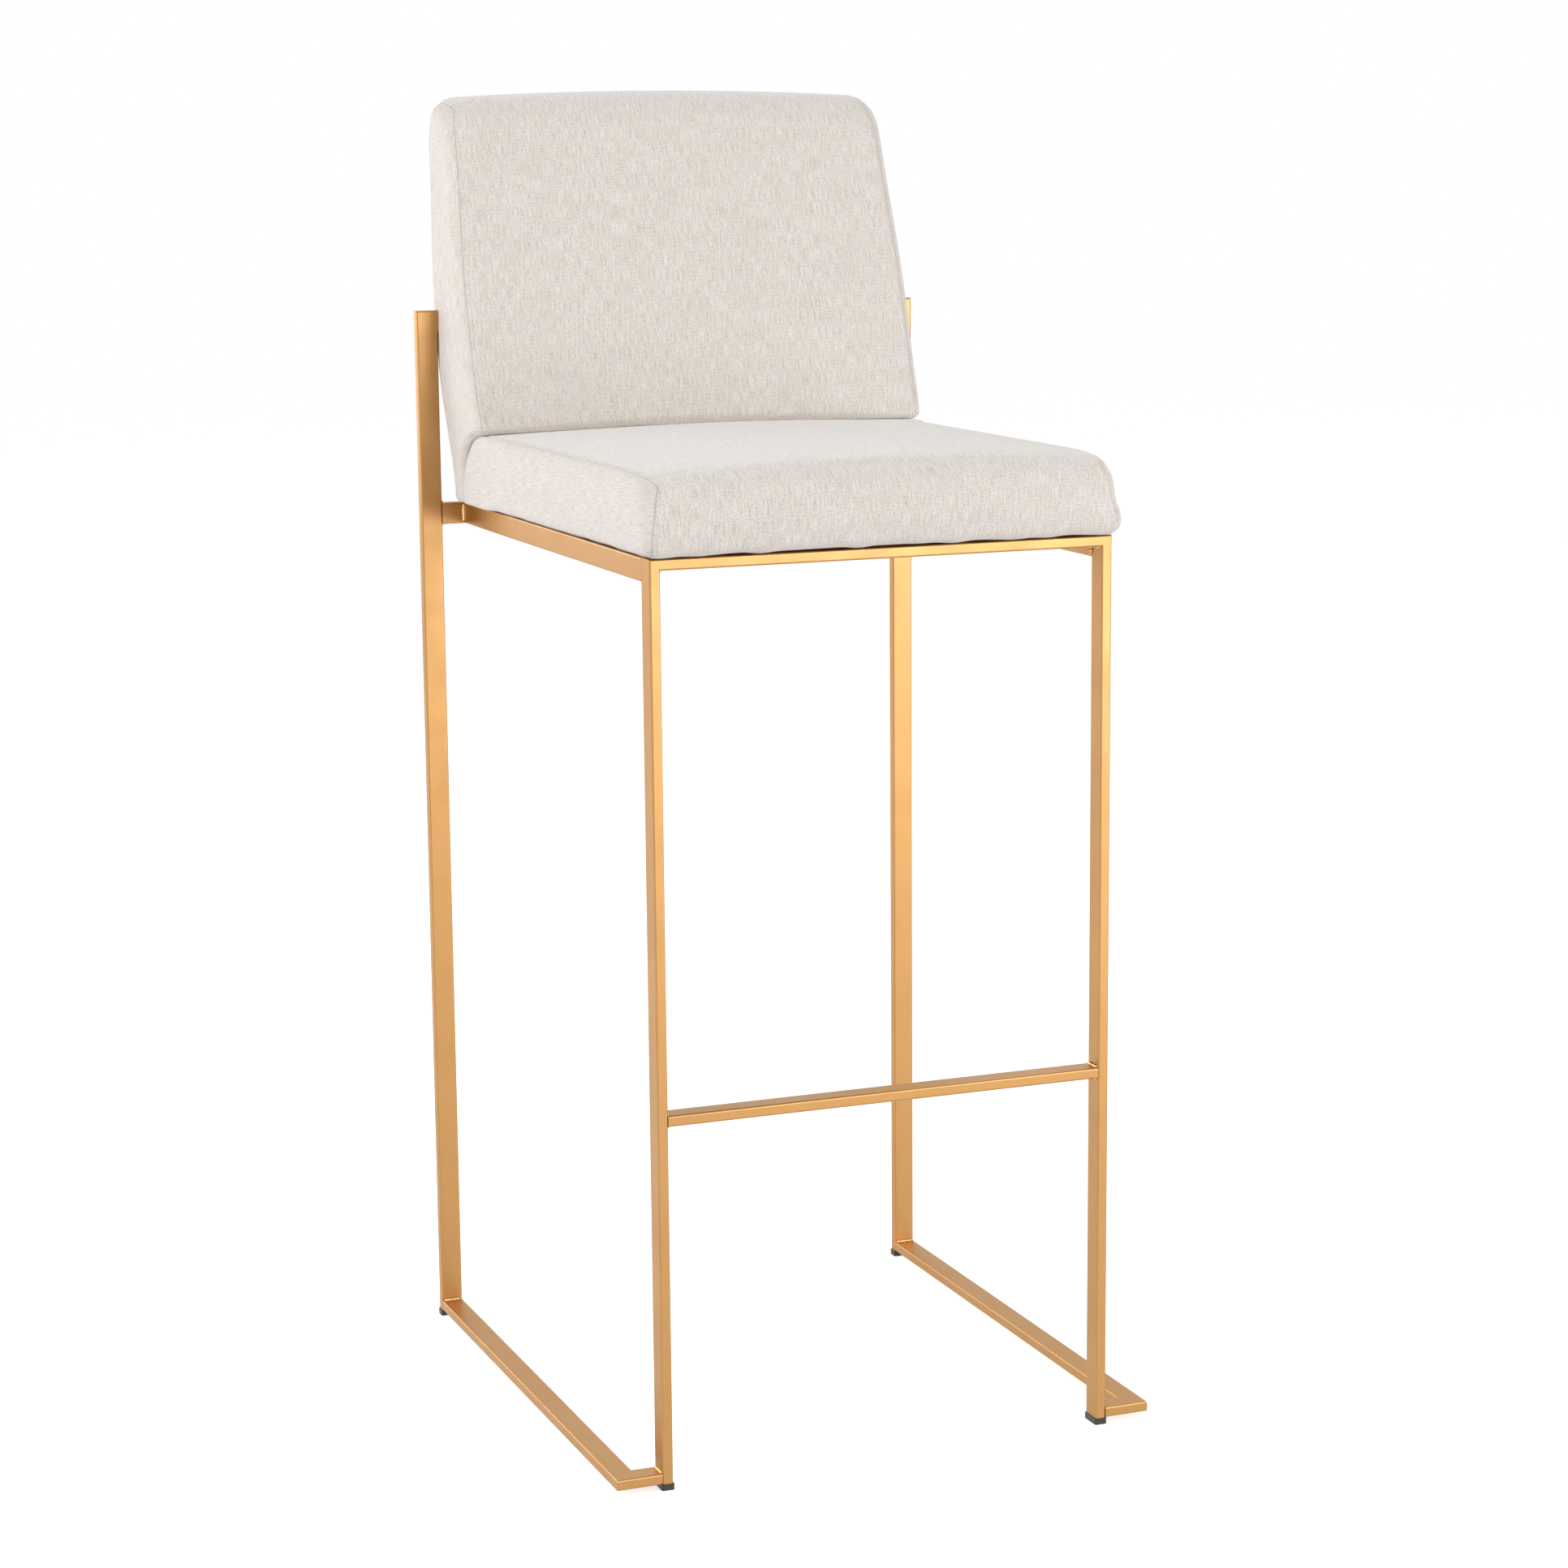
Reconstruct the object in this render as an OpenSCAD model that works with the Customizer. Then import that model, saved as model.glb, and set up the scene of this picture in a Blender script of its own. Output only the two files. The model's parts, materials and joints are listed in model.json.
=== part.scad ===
// Bar stool with a footrest: a welded frame of flat rectangular tube that carries a bolted-on
// upholstered seat and an upholstered back held between the rear posts.
// Millimetres, +Z up, the sitter faces -Y, +X to the right of someone looking at the front.
// Origin: on the floor, at the centre of the stool's bounding box.

/* [Overall size] */
// Width over the front legs
front_w = 390; // [340:5:440]
// Gap between a side rail's outer face and the rear post beside it
post_gap = 19.5; // [8:0.5:50]
// Depth from the front legs' front face to the rear posts' front face
frame_depth = 485; // [420:5:560]
// Height of the seat frame's top face above the floor
seat_frame_h = 740; // [620:5:820]
// Height of the rear posts' tops above the seat frame
post_rise = 167; // [140:1:200]
// Height of the top of the backrest above the rear posts
back_rise = 182; // [100:1:240]
// Height of the footrest's top face above the floor
footrest_h = 305; // [200:5:400]

/* [Tube] */
// Wide side of the rectangular tube
tube_wide = 19; // [16:0.5:25]
// Thin side of the rectangular tube
tube_thin = 9; // [8:0.5:12]
// Wall of the tube
tube_wall = 1.2; // [1:0.1:1.5]
// Radius of the tube's outer corners
tube_corner_r = 1.6; // [1.3:0.1:2.5]

/* [Feet] */
// Thickness of a foot's pad, which is the height of the tubes above the floor
foot_pad_h = 5; // [3:0.5:8]
// How far a pad stands out beyond the tube on each side
foot_lip = 0.8; // [0:0.1:1.5]
// Length of the plug that a foot pushes into the tube
foot_plug_h = 16; // [10:1:25]
// Gap between the plug and the tube's inner wall
foot_clearance = 0.1; // [0.05:0.05:0.3]

/* [Seat] */
// How far the cushion stands out beyond the frame on each side
seat_side_over = 7; // [0:0.5:15]
// Height of the seat cushion above the frame
seat_thick = 67; // [50:1:90]
// How far the cushion stands out in front of the frame
seat_front_over = 10; // [0:1:25]
// Gap between the back end of the seat cushion and the back brackets
seat_rear_gap = 1; // [0.5:0.5:10]
// Radius of the cushion's front top edge
seat_front_r = 26; // [10:1:40]
// Radius of the cushion's rear top edge, on which the back cushion sits
seat_rear_r = 56; // [20:1:60]
// Radius of the cushion's upright corners, seen from above
seat_corner_r = 14; // [6:1:25]
// Radius of the cushion's top edges along its two sides
seat_side_r = 16; // [6:1:30]
// Thickness of the seat board
seat_board_t = 12; // [9:1:18]
// How far the foam stands out beyond the seat board
seat_board_inset = 11; // [8:1:20]

/* [Back] */
// Gap between the back cushion and each rear post
back_post_gap = 0.5; // [0.4:0.1:6]
// How much narrower the back cushion is at its foot, on each side
back_foot_in = 10; // [0:1:30]
// Height above the seat frame at which the back cushion reaches its full width
back_widen_h = 110; // [60:5:150]
// Where the back cushion's front face meets the seat's top, in front of the rear crossbar
back_front_y = 85; // [60:1:120]
// Lean of the back cushion's front face
back_front_lean = 17.2; // [10:0.1:22]
// Lean of the back cushion's rear face and of the back board
back_rear_lean = 9.65; // [6:0.05:12]
// Thickness of the padding and fabric behind the upper crossbar
back_pad_t = 7.5; // [7:0.5:16]
// Radius of the front top edge
back_top_front_r = 20; // [8:1:24]
// Radius of the rear top edge
back_top_rear_r = 12; // [4:1:16]
// Radius of the two upper corners, seen from the front
back_corner_r = 24; // [10:1:40]
// Thickness of the back board
back_board_t = 12; // [9:1:15]
// How far the back board stays inside the back cushion's sides and top
back_board_inset = 17; // [10:1:30]
// How far the back board goes down below the seat's top
back_board_low = 15; // [5:1:20]
// Gap between the two cushions
cushion_gap = 0.4; // [0.3:0.1:2]

/* [Upholstery] */
// Thickness of the fabric with its backing
cover_t = 1.5; // [1:0.1:2]
// Width of the fabric turned under the seat board
hem_w = 26; // [20:1:35]
// Gap between foam and board
foam_gap = 0.1; // [0:0.05:0.5]

/* [Fasteners] */
// Nominal diameter of every bolt
bolt_d = 6; // [5:1:8]
// Extra diameter of the holes that a bolt passes through
bolt_clearance = 0.6; // [0.4:0.1:1.2]
// Gap between a bolt and the bore of its tee nut, all round
thread_gap = 0.05; // [0.02:0.01:0.1]
// Diameter of a bolt head
bolt_head_d = 11; // [9:0.5:14]
// Height of a bolt head
bolt_head_h = 3.3; // [2.5:0.1:5]
// Diameter of a washer
washer_d = 14; // [12:0.5:18]
// Thickness of a washer
washer_t = 1.2; // [1:0.1:2]
// Diameter of a tee nut's flange
tee_flange_d = 19; // [16:0.5:24]
// Thickness of a tee nut's flange
tee_flange_t = 1.5; // [1:0.1:2]
// Wall of a tee nut's barrel
tee_barrel_t = 1; // [0.5:0.1:1.5]
// Length of a tee nut's barrel below its flange
tee_barrel_h = 9; // [6:0.5:10]

/* [Brackets] */
// Thickness of the seat tabs and back brackets
steel_t = 3; // [2:0.5:4]
// Length of a seat tab along its rail
seat_tab_len = 40; // [30:1:60]
// How far a seat tab reaches in from its rail
seat_tab_reach = 32; // [26:1:45]
// Distance of a seat tab's bolt from the rail's inner face
seat_tab_bolt = 20; // [14:1:30]
// Distance of the front tabs' centres behind the front legs
seat_tab_front = 60; // [40:1:120]
// Distance of the rear tabs' centres in front of the rear crossbar
seat_tab_rear = 85; // [60:1:140]
// Width of a back bracket
bracket_w = 30; // [24:1:40]
// Distance between the two back brackets' centres
bracket_spacing = 240; // [160:5:320]
// Height of the lower back bolts above the back board's lower edge
bracket_bolt_up = 22; // [16:1:40]
// How far the back brackets go on above those bolts
bracket_over = 18; // [12:1:30]

/* [Hidden] */

touch = 0.02;                                // keeps parts apart that meet on a slant
far = 3000;                                  // longer than anything on the stool
gold = [0.85, 0.63, 0.34];
linen = [0.86, 0.83, 0.79];
rail_top = seat_frame_h;                     // top face of the seat frame
rear_w = front_w + 2 * (post_gap + tube_wide);
post_h = seat_frame_h + post_rise;
back_top_h = post_h + back_rise;
leg_x = front_w / 2;                         // outer face of a front leg
post_x = rear_w / 2;                         // outer face of a rear post
rail_z = seat_frame_h - tube_wide;           // underside of the side rails and crossbar
rail_len = frame_depth - tube_wide;          // side rail, from the leg's back to the crossbar
bore = bolt_d + bolt_clearance;
tee_barrel_d = bolt_d + 2 * (thread_gap + tee_barrel_t);
seat_w = front_w + 2 * seat_side_over;
seat_y0 = -seat_front_over;
seat_top = seat_frame_h + seat_thick;
seat_tab_y = [tube_wide + seat_tab_front, frame_depth - seat_tab_rear];
seat_bolt_x = leg_x - tube_thin - seat_tab_bolt;
board_z = seat_frame_h + cover_t;            // underside of the seat board
back_w = rear_w - 2 * tube_wide - 2 * back_post_gap;
back_z0 = seat_frame_h + cover_t;            // foot of the back cushion
back_foot_w = back_w - 2 * back_foot_in;
back_board_z0 = seat_top - back_board_low;   // lower edge of the back board
upper_z = post_h - tube_wide / 2;            // centre of the upper crossbar
bracket_x = bracket_spacing / 2;
lower_bolt_z = back_board_z0 + bracket_bolt_up;
upper_tee_d = back_board_t - tee_flange_t - 1;   // crossbar's face to the tee nut's flange

// Y of the back cushion's front face, its rear face, and the back board's rear face at height z
function front_face_y(z) = frame_depth - back_front_y + (z - seat_top) * tan(back_front_lean);
function rear_face_y(z) = board_face_y(z) + tube_thin + back_pad_t;
function board_face_y(z) = frame_depth + (z - upper_z) * tan(back_rear_lean);

seat_y1 = board_face_y(rail_top - steel_t) - seat_rear_gap;

// Unit vector of v
function unit(v) = v / norm(v);

// Points of one rounded corner p between its neighbours a and b
function corner(a, p, b, r, n = 10) =
    let (u = unit(a - p), v = unit(b - p), half = acos(u * v) / 2,
        c = p + unit(u + v) * r / sin(half),
        s = p + u * r / tan(half) - c, e = p + v * r / tan(half) - c,
        a0 = atan2(s[1], s[0]), turn = atan2(s[0] * e[1] - s[1] * e[0], s * e))
    r <= 0 ? [p] : [for (k = [0:n]) c + r * [cos(a0 + turn * k / n), sin(a0 + turn * k / n)]];

// Outline with a radius at each of its corners
function rounded(pts, radii) =
    let (n = len(pts))
    [for (i = [0:n - 1]) each corner(pts[(i + n - 1) % n], pts[i], pts[(i + 1) % n], radii[i])];

// Outline moved inwards by d; its points run anticlockwise
function inset(pts, d) =
    let (n = len(pts))
    [for (i = [0:n - 1])
        let (p = pts[i], u = unit(p - pts[(i + n - 1) % n]), v = unit(pts[(i + 1) % n] - p),
            m = [-u[1], u[0]], w = [-v[1], v[0]])
        p + (m + w) * d / (1 + m * w)];

// Side outline of the back cushion as [y, z], and the radius of each corner
back_pts = [[front_face_y(back_z0), back_z0], [rear_face_y(back_z0), back_z0],
    [rear_face_y(back_top_h), back_top_h], [front_face_y(back_top_h), back_top_h]];
back_top_t = rear_face_y(back_top_h) - front_face_y(back_top_h);
back_radii = [0, 4, min(back_top_rear_r, back_top_t * 0.35),
    min(back_top_front_r, back_top_t * 0.6)];

// Front outline of the back cushion as [x, z]
back_front_pts = [[-back_foot_w / 2, back_z0], [back_foot_w / 2, back_z0],
    [back_w / 2, back_z0 + back_widen_h], [back_w / 2, back_top_h],
    [-back_w / 2, back_top_h], [-back_w / 2, back_z0 + back_widen_h]];
back_front_radii = [4, 4, 40, back_corner_r, back_corner_r, 40];

// The origin is under the middle of the bounding box
y_front = min(seat_y0, 0);
y_rear = max([for (p = rounded(back_pts, back_radii)) p[0]]);
y_mid = (y_front + y_rear) / 2;

// ---- shapes that repeat ----

// Everything modelled from the front legs' front face moves so that the origin is in the middle
module placed() translate([0, -y_mid, 0]) children();

// The left-hand side is modelled; s = 1 gives its mirror image on the right
module side(s) {
    if (s > 0) mirror([1, 0, 0]) children();
    else children();
}

// Outline [x, z] made solid along Y, outline [y, z] along X, and outline [x, y] along Z
module across_y(pts) rotate([90, 0, 0]) linear_extrude(far, center = true) polygon(pts);

module across_x(pts) rotate([90, 0, 90]) linear_extrude(far, center = true) polygon(pts);

module across_z(pts) linear_extrude(far, center = true) polygon(pts);

// Rounded rectangle, centred
module section(w, d, r) {
    square([w - 2 * r, d], center = true);
    square([w, d - 2 * r], center = true);
    for (x = [-1, 1], y = [-1, 1])
        translate([x * (w / 2 - r), y * (d / 2 - r)]) circle(r = r, $fn = 32);
}

// Hollow tube along +Z from the origin, w across X and d across Y
module tube(w, d, len) {
    linear_extrude(len) difference() {
        section(w, d, tube_corner_r);
        section(w - 2 * tube_wall, d - 2 * tube_wall, max(tube_corner_r - tube_wall, 0.3));
    }
}

// Bolt along +Z: the underside of its head is at z = 0 and the head is below
module bolt(len) {
    cylinder(d = bolt_d, h = len, $fn = 32);
    difference() {
        translate([0, 0, -bolt_head_h]) cylinder(d = bolt_head_d, h = bolt_head_h, $fn = 48);
        translate([0, 0, -bolt_head_h - 1]) cylinder(d = bolt_d * 0.67, h = 3, $fn = 6);
    }
}

// Washer along +Z, from z = 0 down
module washer() {
    translate([0, 0, -washer_t]) difference() {
        cylinder(d = washer_d, h = washer_t, $fn = 48);
        translate([0, 0, -1]) cylinder(d = bore, h = washer_t + 2, $fn = 48);
    }
}

// Tee nut along +Z: the underside of its flange is at z = 0 and a barrel of length h is below
module tee_nut(h) {
    difference() {
        union() {
            cylinder(d = tee_flange_d, h = tee_flange_t, $fn = 48);
            translate([0, 0, -h]) cylinder(d = tee_barrel_d, h = h + 0.5, $fn = 48);
        }
        translate([0, 0, -h - 1])
            cylinder(d = bolt_d + 2 * thread_gap, h = h + tee_flange_t + 2, $fn = 48);
    }
}

// Room in board and foam for a tee nut and its bolt: a bore of length h and the flange's pocket
module tee_room(h) {
    translate([0, 0, -h]) cylinder(d = tee_barrel_d + 0.2, h = h + 0.5, $fn = 48);
    cylinder(d = tee_flange_d + 1, h = tee_flange_t + 3, $fn = 48);
}

// Room in the padding for a washer and a bolt head, from z = 0 down
module head_room() {
    translate([0, 0, -washer_t - bolt_head_h - 0.4])
        cylinder(d = washer_d + 1, h = washer_t + bolt_head_h + 0.4, $fn = 48);
}

// Children at each seat bolt, at height z
module at_seat_bolts(z) {
    for (x = [-seat_bolt_x, seat_bolt_x], y = seat_tab_y) translate([x, y, z]) children();
}

// Children at each upper back bolt, d behind the crossbar's front face, with +Z forwards
module at_upper_back_bolts(d) {
    for (x = [-bracket_x, bracket_x])
        translate([x, frame_depth + d, upper_z]) rotate([90, 0, 0]) children();
}

// Children at each lower back bolt, d behind the board's rear face, with +Z forwards
module at_lower_back_bolts(d) {
    for (x = [-bracket_x, bracket_x])
        translate([x, board_face_y(lower_bolt_z), lower_bolt_z])
            rotate([90 - back_rear_lean, 0, 0]) translate([0, 0, -d]) children();
}

// Children in the back board's own frame: y = 0 is its rear face, +Y points backwards, and
// z = 0 is the height of the upper crossbar's centre
module on_board() {
    translate([0, frame_depth, upper_z]) rotate([-back_rear_lean, 0, 0]) children();
}

// The space taken by the upper crossbar, larger by g all round
module crossbar_room(g) {
    translate([-post_x - g, frame_depth - g, post_h - tube_wide - g])
        cube([rear_w + 2 * g, tube_thin + 2 * g, tube_wide + 2 * g]);
}

// ---- welded frame ----

// Front leg, mitred into the front rail at its top
module front_leg(s) {
    color(gold) placed() side(s) intersection() {
        translate([-leg_x + tube_thin / 2, tube_wide / 2, foot_pad_h])
            tube(tube_thin, tube_wide, seat_frame_h - foot_pad_h);
        across_y([[-leg_x, 0], [-leg_x + tube_thin, 0],
            [-leg_x + tube_thin, seat_frame_h - tube_thin], [-leg_x, seat_frame_h]]);
    }
}

// Front rail under the seat, mitred at both ends
module front_seat_rail() {
    color(gold) placed() intersection() {
        translate([-leg_x, tube_wide / 2, seat_frame_h - tube_thin / 2])
            rotate([0, 90, 0]) tube(tube_thin, tube_wide, front_w);
        across_y([[-leg_x, seat_frame_h], [-leg_x + tube_thin, seat_frame_h - tube_thin],
            [leg_x - tube_thin, seat_frame_h - tube_thin], [leg_x, seat_frame_h]]);
    }
}

// Side rail under the seat, from the front leg's back to the rear crossbar
module side_seat_rail(s) {
    color(gold) placed() side(s)
        translate([-leg_x + tube_thin / 2, tube_wide, rail_z + tube_wide / 2])
            rotate([-90, 0, 0]) tube(tube_thin, tube_wide, rail_len);
}

// Crossbar at seat height, between the rear posts
module rear_seat_crossbar() {
    color(gold) placed()
        translate([tube_wide - post_x, frame_depth + tube_thin / 2, rail_z + tube_wide / 2])
            rotate([0, 90, 0]) tube(tube_wide, tube_thin, rear_w - 2 * tube_wide);
}

// Rear post, mitred into the upper crossbar at its top
module rear_post(s) {
    color(gold) placed() side(s) intersection() {
        translate([-post_x + tube_wide / 2, frame_depth + tube_thin / 2, foot_pad_h])
            tube(tube_wide, tube_thin, post_h - foot_pad_h);
        across_y([[-post_x, 0], [-post_x + tube_wide, 0],
            [-post_x + tube_wide, post_h - tube_wide], [-post_x, post_h]]);
    }
}

// Crossbar inside the back cushion, with a bolt hole at each side
module upper_back_crossbar() {
    color(gold) placed() difference() {
        intersection() {
            translate([-post_x, frame_depth + tube_thin / 2, upper_z])
                rotate([0, 90, 0]) tube(tube_wide, tube_thin, rear_w);
            across_y([[-post_x, post_h], [-post_x + tube_wide, post_h - tube_wide],
                [post_x - tube_wide, post_h - tube_wide], [post_x, post_h]]);
        }
        at_upper_back_bolts(tube_thin + 1) cylinder(d = bore, h = tube_thin + 2, $fn = 48);
    }
}

// Floor rail: flat, butted to the rear post and mitred into the floor stub
module floor_rail(s) {
    color(gold) placed() side(s) intersection() {
        translate([-post_x + tube_wide / 2, 0, foot_pad_h + tube_thin / 2])
            rotate([-90, 0, 0]) tube(tube_wide, tube_thin, frame_depth);
        across_z([[-post_x, 0], [-post_x + tube_wide, tube_wide],
            [-post_x + tube_wide, frame_depth], [-post_x, frame_depth]]);
    }
}

// Short flat piece from the floor rail's corner in to the front leg
module front_floor_stub(s) {
    color(gold) placed() side(s) intersection() {
        translate([-post_x, tube_wide / 2, foot_pad_h + tube_thin / 2])
            rotate([0, 90, 0]) tube(tube_thin, tube_wide, post_x - leg_x);
        across_z([[-post_x, 0], [-leg_x, 0], [-leg_x, tube_wide],
            [-post_x + tube_wide, tube_wide]]);
    }
}

// Footrest between the front legs
module footrest_bar() {
    color(gold) placed()
        translate([tube_thin - leg_x, tube_wide / 2, footrest_h - tube_thin / 2])
            rotate([0, 90, 0]) tube(tube_thin, tube_wide, front_w - 2 * tube_thin);
}

// Flat tab welded inside a side rail, with the seat bolt's hole
module seat_tab(s, i) {
    color(gold) placed() side(s) difference() {
        translate([tube_thin - leg_x, seat_tab_y[i] - seat_tab_len / 2, rail_top - steel_t])
            cube([seat_tab_reach, seat_tab_len, steel_t]);
        translate([-seat_bolt_x, seat_tab_y[i], rail_top - steel_t - 1])
            cylinder(d = bore, h = steel_t + 2, $fn = 48);
    }
}

// Bent bracket: a foot welded to the rear crossbar, and an arm that leans with the back board.
// The outline [y, z] is larger by g all round.
module bracket_form(g) {
    low = rail_top - steel_t;
    start = [board_face_y(low), low];
    up = [sin(back_rear_lean), cos(back_rear_lean)];
    behind = steel_t * [up[1], -up[0]];
    arm = (lower_bolt_z + bracket_over - low) / up[1];
    inner = steel_t * (1 + up[0]) / up[1];
    outline = [start, [frame_depth, low], [frame_depth, rail_top], start + behind + inner * up,
        start + behind + arm * up, start + arm * up];
    translate([-bracket_x, 0, 0]) rotate([90, 0, 90])
        linear_extrude(bracket_w + 2 * g, center = true) polygon(inset(outline, -g));
}

module back_bracket(s) {
    color(gold) placed() side(s) difference() {
        bracket_form(0);
        at_lower_back_bolts(steel_t + 1) cylinder(d = bore, h = steel_t + 2, $fn = 48);
    }
}

// ---- feet ----

// Pad under a tube of w by d, with a hollow plug that goes up into it
module foot(w, d) {
    inner = 2 * tube_wall + 2 * foot_clearance;
    linear_extrude(foot_pad_h) section(w + 2 * foot_lip, d + 2 * foot_lip, tube_corner_r);
    translate([0, 0, foot_pad_h - 0.5]) linear_extrude(foot_plug_h + 0.5) difference() {
        section(w - inner, d - inner, 0.5);
        section(w - inner - 3, d - inner - 3, 0.4);
    }
}

module front_foot(s) {
    color("black") placed() side(s)
        translate([-leg_x + tube_thin / 2, tube_wide / 2, 0]) foot(tube_thin, tube_wide);
}

module rear_foot(s) {
    color("black") placed() side(s)
        translate([-post_x + tube_wide / 2, frame_depth + tube_thin / 2, 0])
            foot(tube_wide, tube_thin);
}

// ---- seat ----

// The seat cushion's outer form, smaller by d all round
module seat_form(d) {
    plan = [[-seat_w / 2, seat_y0], [seat_w / 2, seat_y0], [seat_w / 2, seat_y1],
        [-seat_w / 2, seat_y1]];
    profile = [[seat_y0, seat_frame_h], [seat_y1, seat_frame_h], [seat_y1, seat_top],
        [seat_y0, seat_top]];
    front = [[-seat_w / 2, seat_frame_h], [seat_w / 2, seat_frame_h], [seat_w / 2, seat_top],
        [-seat_w / 2, seat_top]];
    plan_r = seat_corner_r - d;
    rear_r = min(seat_rear_r, seat_thick - 6) - d;
    intersection() {
        across_z(rounded(inset(plan, d), [plan_r, plan_r, plan_r, plan_r]));
        across_x(rounded(inset(profile, d), [0, 0, rear_r, seat_front_r - d]));
        across_y(rounded(inset(front, d), [0, 0, seat_side_r - d, seat_side_r - d]));
    }
}

// The seat board's box, larger by g all round
module seat_board_form(g) {
    inset_g = seat_board_inset - g;
    translate([-seat_w / 2 + inset_g, seat_y0 + inset_g, board_z - g])
        cube([seat_w - 2 * inset_g, seat_y1 - seat_y0 - 2 * inset_g, seat_board_t + 2 * g]);
}

// Box under the seat inside the turned-in fabric, smaller by g all round, of height h
module hem_opening(g, h) {
    translate([-seat_w / 2 + hem_w + g, seat_y0 + hem_w + g, seat_frame_h])
        cube([seat_w - 2 * hem_w - 2 * g, seat_y1 - seat_y0 - 2 * hem_w - 2 * g, h]);
}

module seat_board() {
    color("burlywood") placed() difference() {
        seat_board_form(0);
        at_seat_bolts(board_z + seat_board_t) tee_room(seat_board_t + 1);
    }
}

module seat_foam() {
    color("lightyellow") placed() difference() {
        seat_form(cover_t + touch);
        seat_board_form(foam_gap);
        at_seat_bolts(board_z + seat_board_t) tee_room(seat_board_t / 2);
    }
}

// Fabric over the foam, turned in under the board
module seat_cover() {
    color(linen) placed() difference() {
        seat_form(0);
        seat_form(cover_t);
        translate([0, 0, -1]) hem_opening(0, cover_t + 2);
    }
}

module seat_dust_cover() {
    color("dimgray") placed() difference() {
        hem_opening(0.5, cover_t);
        at_seat_bolts(seat_frame_h - 1) cylinder(d = bore, h = cover_t + 2, $fn = 48);
    }
}

module seat_tee_nuts() {
    color("silver") placed() at_seat_bolts(board_z + seat_board_t) tee_nut(tee_barrel_h);
}

module seat_bolts() {
    color("silver") placed() at_seat_bolts(rail_top - steel_t - washer_t)
        bolt(washer_t + steel_t + cover_t + seat_board_t + tee_flange_t);
}

module seat_washers() {
    color("silver") placed() at_seat_bolts(rail_top - steel_t) washer();
}

// ---- back ----

// The back cushion's outer form, smaller by d all round, kept clear of the seat cushion
module back_form(d) {
    difference() {
        intersection() {
            across_x(rounded(inset(back_pts, d), [for (r = back_radii) max(r - d, 0)]));
            across_y(rounded(inset(back_front_pts, d), [for (r = back_front_radii) r - d]));
        }
        seat_form(-cushion_gap - d);
    }
}

// The back board, larger by g all round
module back_board_form(g) {
    w = back_foot_w / 2 - back_board_inset + g;
    z0 = (back_board_z0 - upper_z) / cos(back_rear_lean) - g;
    z1 = (back_top_h - back_board_inset - upper_z) / cos(back_rear_lean) + g;
    on_board() translate([0, g - touch, 0]) rotate([90, 0, 0])
        linear_extrude(back_board_t + 2 * g - touch)
            polygon(rounded([[-w, z0], [w, z0], [w, z1], [-w, z1]], [5, 5, 15, 15]));
}

module back_board() {
    color("burlywood") placed() difference() {
        back_board_form(0);
        crossbar_room(0);
        at_upper_back_bolts(-upper_tee_d) tee_room(upper_tee_d + 1);
        at_lower_back_bolts(-back_board_t) tee_room(back_board_t + 1);
    }
}

// Foam in front of the board and round its edges
module back_foam() {
    color("lightyellow") placed() difference() {
        intersection() {
            back_form(cover_t + touch);
            on_board() translate([-far / 2, -far - touch, -far / 2]) cube(far);
        }
        back_board_form(foam_gap);
        crossbar_room(foam_gap);
        at_upper_back_bolts(-upper_tee_d) tee_room(1);
        at_lower_back_bolts(-back_board_t) tee_room(1);
    }
}

// Padding behind the board, over the crossbar and the brackets' arms
module back_rear_pad() {
    color("lightyellow") placed() difference() {
        back_form(cover_t + touch);
        on_board() translate([-far / 2, foam_gap + touch - far, -far / 2]) cube(far);
        crossbar_room(foam_gap);
        for (s = [-1, 1]) side(s) bracket_form(foam_gap);
        at_upper_back_bolts(tube_thin) head_room();
        at_upper_back_bolts(0) cylinder(d = tee_barrel_d + 0.2, h = back_board_t, $fn = 48);
        at_lower_back_bolts(steel_t) head_room();
    }
}

// Fabric round the back cushion, with slots for the crossbar and the brackets
module back_cover() {
    color(linen) placed() difference() {
        back_form(0);
        back_form(cover_t);
        crossbar_room(0.3);
        for (s = [-1, 1]) side(s) bracket_form(0.5);
    }
}

module back_tee_nuts() {
    color("silver") placed() {
        at_upper_back_bolts(-upper_tee_d) tee_nut(min(tee_barrel_h, upper_tee_d - 0.3));
        at_lower_back_bolts(-back_board_t) tee_nut(tee_barrel_h);
    }
}

module back_bolts() {
    color("silver") placed() {
        at_upper_back_bolts(tube_thin + washer_t)
            bolt(washer_t + tube_thin + upper_tee_d + tee_flange_t);
        at_lower_back_bolts(steel_t + washer_t)
            bolt(washer_t + steel_t + back_board_t + tee_flange_t);
    }
}

module back_washers() {
    color("silver") placed() {
        at_upper_back_bolts(tube_thin) washer();
        at_lower_back_bolts(steel_t) washer();
    }
}

front_leg(-1);  // front_leg_left
front_leg(1);  // front_leg_right
front_seat_rail();
side_seat_rail(-1);  // side_seat_rail_left
side_seat_rail(1);  // side_seat_rail_right
rear_seat_crossbar();
rear_post(-1);  // rear_post_left
rear_post(1);  // rear_post_right
upper_back_crossbar();
floor_rail(-1);  // floor_rail_left
floor_rail(1);  // floor_rail_right
front_floor_stub(-1);  // front_floor_stub_left
front_floor_stub(1);  // front_floor_stub_right
footrest_bar();
front_foot(-1);  // front_foot_left
front_foot(1);  // front_foot_right
rear_foot(-1);  // rear_foot_left
rear_foot(1);  // rear_foot_right
seat_tab(-1, 0);  // seat_tab_front_left
seat_tab(1, 0);  // seat_tab_front_right
seat_tab(-1, 1);  // seat_tab_rear_left
seat_tab(1, 1);  // seat_tab_rear_right
back_bracket(-1);  // back_bracket_left
back_bracket(1);  // back_bracket_right
seat_board();
seat_foam();
seat_cover();
seat_dust_cover();
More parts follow.
